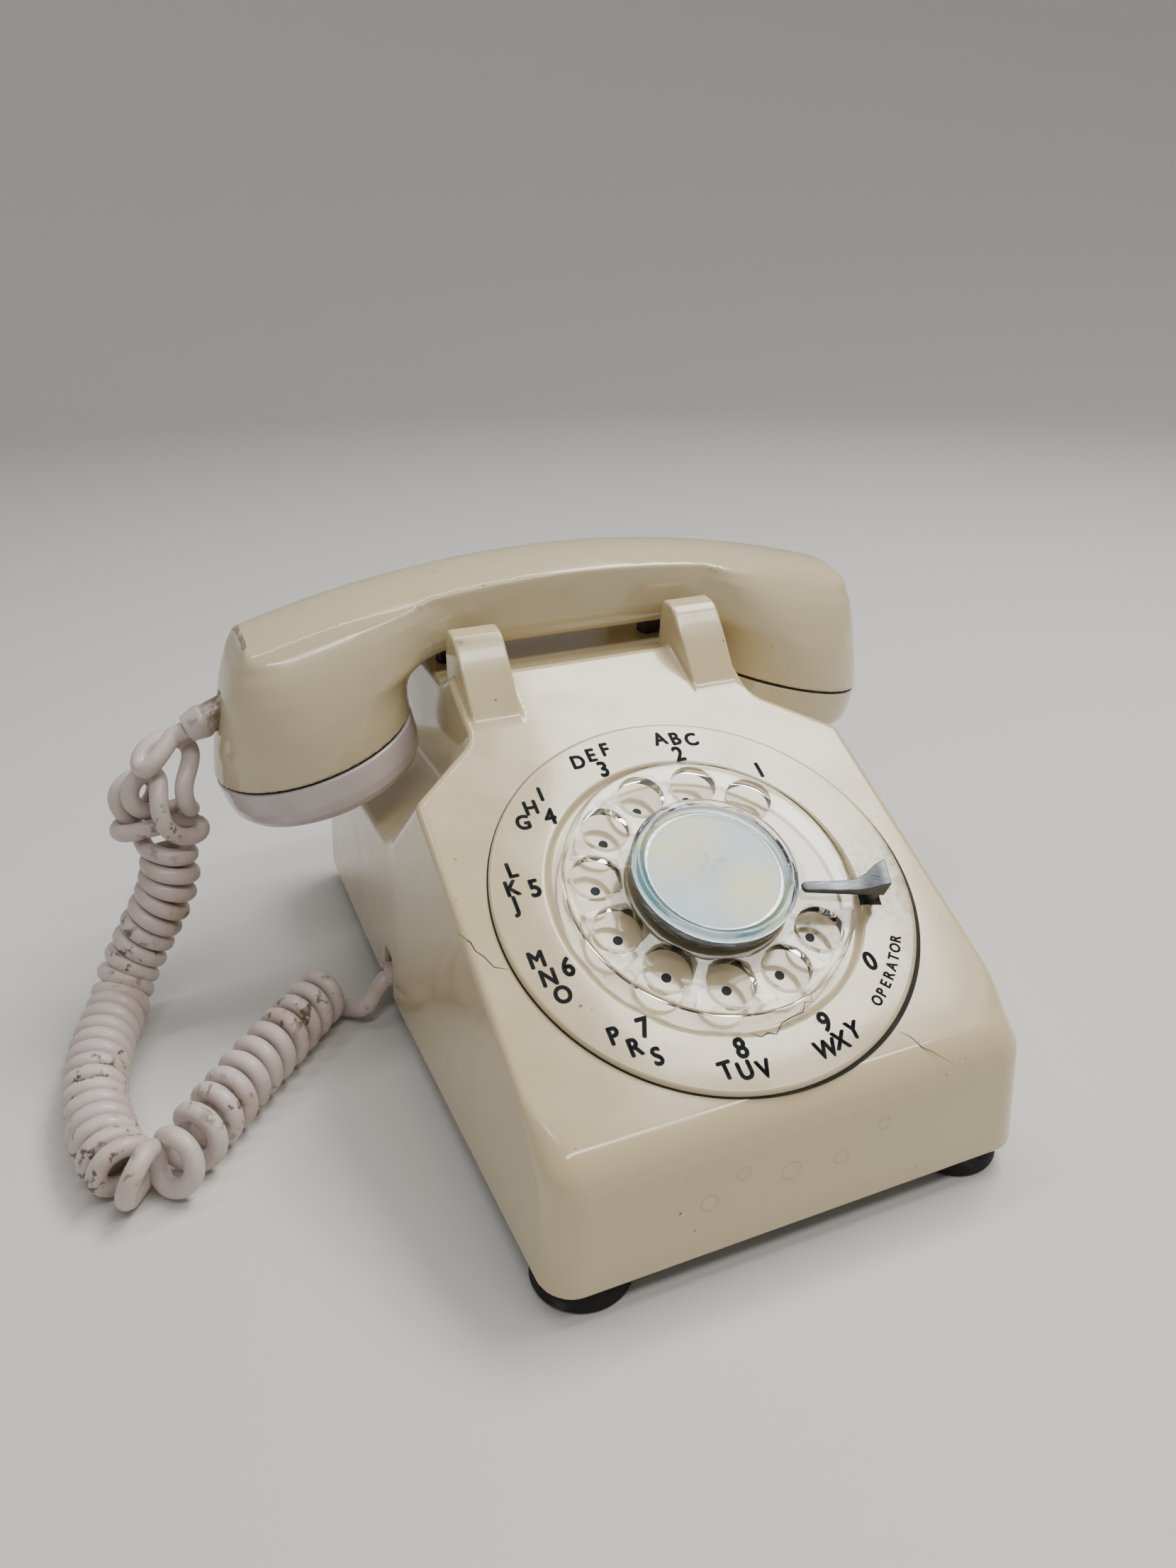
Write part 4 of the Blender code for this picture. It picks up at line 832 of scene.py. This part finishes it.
def make_wheel():
    """The clear finger wheel with its ten holes, and the card with its retainer and cover."""
    profile = [
        (0.0050, 0.0022), (0.0372, 0.0018), (0.0386, 0.0020), (WHEEL_RADIUS, 0.0030), (0.0388, 0.0042),
        (0.0378, 0.0048), (0.0232, 0.0046), (0.0050, 0.0046),
    ]
    wheel = lathe("clear_finger_wheel", profile, "clear", 128, edge=0.0004)
    hole = [(0, -0.001), (0.0064, -0.001), (0.0064, 0.010), (0, 0.010)]
    cutters = []
    for number in range(10):
        angle = FIRST_HOLE + radians(30) * number
        at = Matrix.Translation((HOLE_CIRCLE * cos(angle), HOLE_CIRCLE * sin(angle), 0))
        cutters.append(lathe(f"cut_{number}", hole, "clear", 48, at, 0.0))
    subtract(wheel, cutters, 0.0006, 3)
    wheel.data.transform(dial_frame)
    smooth_faces(wheel.data, 40)
    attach(wheel, "dial")
    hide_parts("finger_wheel")

    cover = lathe(
        "clear_card_cover",
        [
            (0, 0.0079), (0.0200, 0.0079), (0.0219, 0.0079), (0.0222, 0.0088), (0.0216, 0.0100),
            (0.0206, 0.0104), (0.0196, 0.0103), (0.0190, 0.0096), (0.0186, 0.0093), (0, 0.0095),
        ],
        "clear", 96, dial_frame, 0.0003,
    )
    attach(cover, "dial")
    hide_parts("card_cover")

    retainer = lathe(
        "chrome_card_retainer",
        [
            (0.0190, 0.0051), (0.0219, 0.0051), (0.0219, 0.0064), (0.0214, 0.0078), (0.0209, 0.0078),
            (0.0208, 0.0066), (0.0190, 0.0066),
        ],
        "chrome", 96, dial_frame, 0.0002,
    )
    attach(retainer, "dial")
    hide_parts("card_retainer")

    sheet = [(0, 0.0068), (CARD_RADIUS, 0.0068), (CARD_RADIUS, 0.0074), (0, 0.0074)]
    card = lathe("round_number_card", sheet, "card", 96, dial_frame, 0.0001)
    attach(card, "dial")
    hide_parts("number_card")

    band = [(0.0176, 0.00745), (0.0186, 0.00745), (0.0186, 0.0078), (0.0176, 0.0078)]
    edge = lathe("card_edge_line", band, "chrome", 96, dial_frame, 0.0)
    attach(edge, "dial")


def text_mesh(text, size):
    """A character as a thin solid, centred on the origin."""
    curve = bpy.data.curves.new("text", "FONT")
    curve.body = text
    curve.size = size
    curve.extrude = 0.00004
    curve.resolution_u = 4
    obj = bpy.data.objects.new("text", curve)
    bpy.context.scene.collection.objects.link(obj)
    mesh = bpy.data.meshes.new_from_object(obj.evaluated_get(bpy.context.evaluated_depsgraph_get()))
    drop(obj)
    places = np.array([v.co for v in mesh.vertices])
    middle = (places.min(axis=0) + places.max(axis=0)) / 2
    mesh.transform(Matrix.Diagonal((0.88, 1, 1, 1)) @ Matrix.Translation((-middle[0], -middle[1], 0)))
    return mesh


def make_lettering():
    """The figures and letters on the number plate, and a dot under each finger hole."""
    groups = ("1", "2ABC", "3DEF", "4GHI", "5JKL", "6MNO", "7PRS", "8TUV", "9WXY", "0")
    on_plate, in_dish = 0.00003, -0.00156
    bm = bmesh.new()

    def put(mesh, radius, angle, height, turn=0.0, bolder=0.0):
        """Places a character, with copies round it that thicken its strokes."""
        spot = Matrix.Translation((radius * cos(angle), radius * sin(angle), height))
        place = spot @ Matrix.Rotation(turn, 4, "Z")
        shifts = [Vector((bolder * x, bolder * y, 0)) for x, y in arc((0, 0), 1.0, 0, 2 * pi * 5 / 6, 6)]
        for shift in shifts if bolder else (Vector(),):
            copy = mesh.copy()
            copy.transform(dial_frame @ place @ Matrix.Translation(shift))
            bm.from_mesh(copy)

    for index, group in enumerate(groups):
        middle = FIRST_HOLE + radians(0.9 + 30 * index)
        circle = NUMERAL_CIRCLE + (0.0007 if index == 0 else 0)
        put(text_mesh(group[0], 0.0073), circle, middle, on_plate, bolder=0.00028)
        letters = group[1:] if index > 4 else group[:0:-1]
        spread = radians(5.3 if index in (1, 2, 7, 8) else 6.2)
        for place, letter in enumerate(letters):
            angle = middle + (place - 1) * spread
            put(text_mesh(letter, 0.0064), LETTER_CIRCLE, angle, on_plate, bolder=0.00027)
    for place, letter in enumerate("OPERATOR"):
        angle = radians(304.2 + 3.3 * place)
        put(text_mesh(letter, 0.0040), LETTER_CIRCLE - 0.0001, angle, on_plate, angle + pi / 2, 0.00015)
    for index in range(10):
        dot = bmesh.new()
        bmesh.ops.create_cone(dot, cap_ends=True, segments=24, radius1=0.0013, radius2=0.0013, depth=0.00010)
        dot_mesh = finished_mesh(dot, "dot", flip=False)
        put(dot_mesh, DOT_CIRCLE, FIRST_HOLE + radians(1.0 + 30 * index), in_dish)
    lettering = add_object("dial_lettering", finished_mesh(bm, "dial_lettering", flip=False), "ink", 30)
    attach(lettering, "base")


def make_stop():
    """The finger stop: a slim finger that flares into a block, with a leg down through the plate."""
    # Each section of the finger: its distance from the dial's middle, its two sides, underside and top
    sections = [
        (0.0234, -0.0040, -0.0024, 0.0059, 0.0067), (0.0244, -0.0047, -0.0018, 0.0056, 0.0071),
        (0.0330, -0.0048, -0.0015, 0.0055, 0.0074), (0.0385, -0.0047, -0.0010, 0.0054, 0.0078),
        (0.0415, -0.0045, 0.0006, 0.0052, 0.0086), (0.0440, -0.0042, 0.0028, 0.0048, 0.0096),
        (0.0468, -0.0040, 0.0040, 0.0044, 0.0102),
    ]
    # Each section of the leg: its height, its two sides, and its inner and outer faces
    leg = [(-0.0046, -0.0031, 0.0032, 0.0436, 0.0462), (0.0020, -0.0031, 0.0032, 0.0436, 0.0462),
           (0.0052, -0.0034, 0.0034, 0.0434, 0.0464)]
    bm = bmesh.new()
    finger_rows = [
        [bm.verts.new((reach, y, z)) for y, z in ((left, low), (right, low), (right, high), (left, high))]
        for reach, left, right, low, high in sections
    ]
    leg_rows = []
    for height, left, right, inner, outer in leg:
        corners = ((inner, left), (outer, left), (outer, right), (inner, right))
        leg_rows.append([bm.verts.new((x, y, height)) for x, y in corners])
    join_rows(bm, finger_rows)
    join_rows(bm, leg_rows)
    stop = add_object("metal_finger_stop", finished_mesh(bm, "metal_finger_stop"), "stop")
    add_bevel(stop, 0.0006, 4, 40)
    apply_modifiers(stop)
    stop.data.transform(dial_frame @ Matrix.Rotation(STOP_ANGLE, 4, "Z"))
    smooth_faces(stop.data, 35)
    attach(stop, "base")
    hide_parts("finger_stop")


def make_feet():
    """Four round rubber feet, a little wider at the floor."""
    places = {
        "foot_front_left": (-0.054, -0.1000), "foot_front_right": (0.054, -0.1000),
        "foot_rear_left": (-0.056, 0.0970), "foot_rear_right": (0.056, 0.0970),
    }
    for name, (x, y) in places.items():
        middle = Matrix.Translation((x, y, 0))
        profile = [
            (0, 0.0001), (FOOT_RADIUS - 0.0006, 0.0001), (FOOT_RADIUS, 0.0008),
            (FOOT_RADIUS - 0.0004, 0.0040), (FOOT_RADIUS - 0.0013, 0.0066), (0, 0.0066),
        ]
        foot = lathe(f"rubber_{name}", profile, "rubber", 48, middle, 0.0005)
        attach(foot, "base")
        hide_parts(name)


# ---- The handset ----

def make_handset():
    """The handle with its two cups, their caps with seven holes each, and the cord's boot."""
    handle = drawn_onto("handset_shell", "handset_handle", handset_field, 0.0009, "handset", 0.0040, 0.0040)
    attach(handle, "handset")
    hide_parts("handset_handle")
    for side, word, look, slot in (
        (-1, "transmitter", "lilac", "transmitter_plastic"), (1, "receiver", "handset", "housing_plastic"),
    ):
        tilt = Matrix.Rotation(pi + side * CAP_TILT, 4, "Y")
        place = Matrix.Translation((side * CAP_X, HANDSET_Y, CAP_Z)) @ tilt
        profile = [
            (0.0240, -0.0048), (0.0260, -0.0048), (0.0262, 0.0009), (0.0308, 0.0008), (0.0313, 0.0013),
            (0.0313, 0.0022), (0.0312, 0.0080), (0.0306, 0.0112), (0.0292, 0.0134), (0.0268, 0.0148),
            (0.0240, 0.0150), (0.0150, 0.0146), (0, 0.0142), (0, 0.0128), (0.0240, 0.0126),
        ]
        cap = lathe(f"{word}_cap_shell", profile, look, 96, place, 0.0004, 40)
        cap.data.transform(place.inverted())
        cutters = []
        for x, y in [(0, 0)] + arc((0, 0), 0.0090, 0, 2 * pi * 5 / 6, 6):
            at = Matrix.Translation((x, y, 0))
            hole = [(0, 0.010), (0.0013, 0.010), (0.0013, 0.018), (0, 0.018)]
            cutters.append(lathe(f"{word}_cut", hole, look, 16, at, 0.0))
        subtract(cap, cutters)
        cap.data.transform(place)
        smooth_faces(cap.data, 40)
        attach(cap, "handset")
        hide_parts(f"{word}_cap")
        # A dark ring in the joint gap under each cap's rim: painted shade.
        dirt = [(0.0264, 0.0001), (0.0305, 0.0001), (0.0305, 0.0007), (0.0264, 0.0007)]
        ring = lathe(f"{word}_joint_painted_shade", dirt, "gap", 96, place, 0.0)
        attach(ring, "handset")

    turn = Vector((0, 0, 1)).rotation_difference(BOOT_DIRECTION).to_matrix().to_4x4()
    boot = lathe(
        "cord_boot_cone",
        [
            (0, -0.0028), (0.0045, -0.0028), (0.0046, 0.0048), (0.0051, 0.0054), (0.0052, 0.0064),
            (0.0049, 0.0080), (0.0044, 0.0100), (0.0041, BOOT_LENGTH), (0, BOOT_LENGTH),
        ],
        "cord", 48, Matrix.Translation(BOOT_PLACE) @ turn, 0.0004,
    )
    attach(boot, "handset")
    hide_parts("cord_boot")


# ---- The cord ----

def curve_through(points, spacing):
    """Evenly spaced points on a Catmull-Rom curve."""
    given = [Vector(point) for point in points]
    given = [2 * given[0] - given[1], *given, 2 * given[-1] - given[-2]]
    fine = []
    for a, b, c, d in zip(given, given[1:], given[2:], given[3:]):
        for i in range(40):
            t = i / 40
            bend, twist = 2 * a - 5 * b + 4 * c - d, 3 * b - a - 3 * c + d
            fine.append(0.5 * (2 * b + (c - a) * t + bend * t**2 + twist * t**3))
    fine.append(given[-2])
    fine = np.array(fine)
    along = np.concatenate([[0], np.cumsum(np.linalg.norm(np.diff(fine, axis=0), axis=1))])
    wanted = np.linspace(0, along[-1], max(2, int(round(along[-1] / spacing)) + 1))
    return np.stack([np.interp(wanted, along, fine[:, i]) for i in range(3)], axis=1)


def coil_along(route, turns_of, radius, start_angle):
    """A left-handed helix round a route, whose angle follows turns_of the share of the route."""
    points = curve_through(route, 0.00025)
    tangents = np.gradient(points, axis=0)
    tangents /= np.linalg.norm(tangents, axis=1, keepdims=True)
    side = np.array((0.0, 1.0, 0.0))
    sides = []
    for tangent in tangents:
        side = side - tangent * (side @ tangent)
        side = side / np.linalg.norm(side)
        sides.append(side)
    sides = np.array(sides)
    others = np.cross(tangents, sides)
    share = np.linspace(0, 1, len(points))
    angle = start_angle - 2 * pi * turns_of(share)
    return points + radius * (np.cos(angle)[:, None] * sides + np.sin(angle)[:, None] * others)


def smoothed(points, first, last, passes):
    """Softens a stretch of a line of points."""
    made = points.copy()
    for _ in range(passes):
        middle = (made[first - 1 : last - 1] + 2 * made[first:last] + made[first + 1 : last + 1]) / 4
        made[first:last] = middle
    return made


# The knot's strand from the boot to the coil, in millimetres: across, away and up from its middle
KNOT_MIDDLE = Vector((-0.1285, 0.0493, 0.0775))
KNOT_ACROSS = Vector((0.924, -0.382, 0))
KNOT_AWAY = Vector((0.382, 0.924, 0))
KNOT = (
    (4.5, -0.5, 12.5), (2, -3.5, 9.5), (-0.5, -4.5, 7.5), (-2.8, -2.5, 8), (-3, 0.5, 10.5), (-0.5, 4, 13),
    (3, 7, 13.3), (7, 9.5, 12), (10, 7, 9), (10, 2, 5.5), (9.2, -2.5, 1.5), (9.2, -2.5, -4), (8.8, 2, -8),
    (5.5, 7.5, -9.5), (2, 10, -10.8), (-1.5, 7, -11), (-4.8, 2, -9), (-7.2, -1.5, -5), (-7.5, -2, 0),
    (-5.5, 0.5, 3.5), (-2, 3, 4.5), (1, 1, 3.5), (2.2, -3.5, 1), (2.5, -6.5, -4), (3.5, -7, -9.5),
    (5.5, -4, -14), (8.5, -0.5, -16.3), (10.8, 3, -16), (10, 5, -14.2), (7, 4, -13), (3, 1.5, -12.5),
    (-2, -2.5, -11.8), (-7, -4, -12.5), (-11.5, -3, -13.8), (-14.5, 0.5, -14), (-13.5, 6, -14),
    (-9, 9.5, -11.5), (-5, 9.5, -7), (-3.5, 9.5, -2), (-6, 7.5, 1.5), (-10, 4, 1), (-13, 1.5, -2.5),
    (-13, 1, -6.5), (-11, 1.5, -10.5), (-9, 2.5, -14), (-8, 1.5, -17.5), (-6, -1.8, -19.5),
)


def make_cord():
    """The handset cord: from the boot through the knot, down the hanging coil, and along to the slot."""
    exit_point = BOOT_PLACE + BOOT_DIRECTION * (BOOT_LENGTH + 0.0006)
    knot = [
        KNOT_MIDDLE + 0.001 * (KNOT_ACROSS * across + KNOT_AWAY * away + Vector((0, 0, up)))
        for across, away, up in KNOT
    ]
    route = [
        (-0.1275, 0.0494, 0.0575), (-0.1290, 0.0494, 0.0495), (-0.1322, 0.0494, 0.0410),
        (-0.1395, 0.0494, 0.0290), (-0.1468, 0.0470, 0.0180), (-0.1512, 0.0400, 0.0112),
        (-0.1555, 0.0280, 0.0096), (-0.1585, 0.0130, 0.0095), (-0.1595, -0.0020, 0.0095),
        (-0.1582, -0.0140, 0.0095), (-0.1560, -0.0250, 0.0095), (-0.1515, -0.0340, 0.0095),
        (-0.1440, -0.0365, 0.0095), (-0.1372, -0.0300, 0.0095), (-0.1308, -0.0215, 0.0095),
        (-0.1248, -0.0145, 0.0095), (-0.1188, -0.0070, 0.0095), (-0.1130, -0.0005, 0.0095),
        (-0.1070, 0.0060, 0.0095), (-0.0995, 0.0145, 0.0095), (-0.0900, 0.0252, 0.0095),
    ]

    def turns_of(share):
        return np.interp(share, (0, 0.59, 0.72, 1.0), (0, 22.5, 25.5, 34.56))

    coil = coil_along(route, turns_of, COIL_RADIUS - CORD_RADIUS - 0.0001, COIL_START)
    last = Vector(coil[-1])
    tail = [last + Vector((0.0045, -0.0035, 0.0004)), (-0.0800, 0.0150, 0.0065), (-0.0752, 0.0165, 0.0112),
            (-0.0705, 0.0186, 0.0137), (-0.0620, 0.0190, 0.0138), (-0.0520, 0.0190, 0.0138)]
    lead = [exit_point, exit_point + BOOT_DIRECTION * 0.002, exit_point + BOOT_DIRECTION * 0.004]
    head = curve_through([*lead, *knot, tuple(coil[0])], 0.0012)
    end = curve_through([tuple(coil[-1]), *tail], 0.0012)
    points = np.concatenate([head, coil[1:], end[1:]])
    start, finish = len(head), len(head) + len(coil) - 1
    points = smoothed(points, 4, start + 12, 8)
    points = smoothed(points, finish - 12, finish + 6, 12)
    curve = bpy.data.curves.new("handset_cord", "CURVE")
    curve.dimensions = "3D"
    curve.bevel_depth = CORD_RADIUS
    curve.bevel_resolution = 5
    curve.use_fill_caps = True
    spline = curve.splines.new("POLY")
    spline.points.add(len(points) - 1)
    for point, place in zip(spline.points, points):
        point.co = (*place, 1)
    curve.materials.append(looks["cord"])
    cord = bpy.data.objects.new("handset_cord", curve)
    bpy.context.scene.collection.objects.link(cord)
    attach(cord, "base")
    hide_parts("cord_strand", "cord_knot", "coil_hanging", "coil_bend", "coil_lying", "cord_tail")


# ---- CAD nodes that are shown as they are ----

def finish_nodes():
    """Gives every CAD node the look that its material slot stands for."""
    slot_looks = {
        "housing_plastic": "body", "transmitter_plastic": "lilac", "clear_acrylic": "clear",
        "card_paper": "card", "cord_vinyl": "cord", "sheet_steel": "steel", "stop_metal": "stop",
        "retainer_chrome": "chrome", "zinc": "zinc", "brass": "brass", "copper_wire": "copper",
        "black_plastic": "black", "foot_rubber": "rubber",
    }
    for part in frame["record"]["subparts"]:
        obj = nodes[part["node"]]
        look = looks[slot_looks[part["material_slot"]]]
        for slot in obj.material_slots:
            slot.material = look
        if not obj.material_slots:
            obj.data.materials.append(look)


finish_nodes()
add_camera()
add_studio()
make_body()
make_plate()
make_gap_shadow()
make_cracks()
make_wheel()
make_lettering()
make_stop()
make_feet()
make_handset()
make_cord()
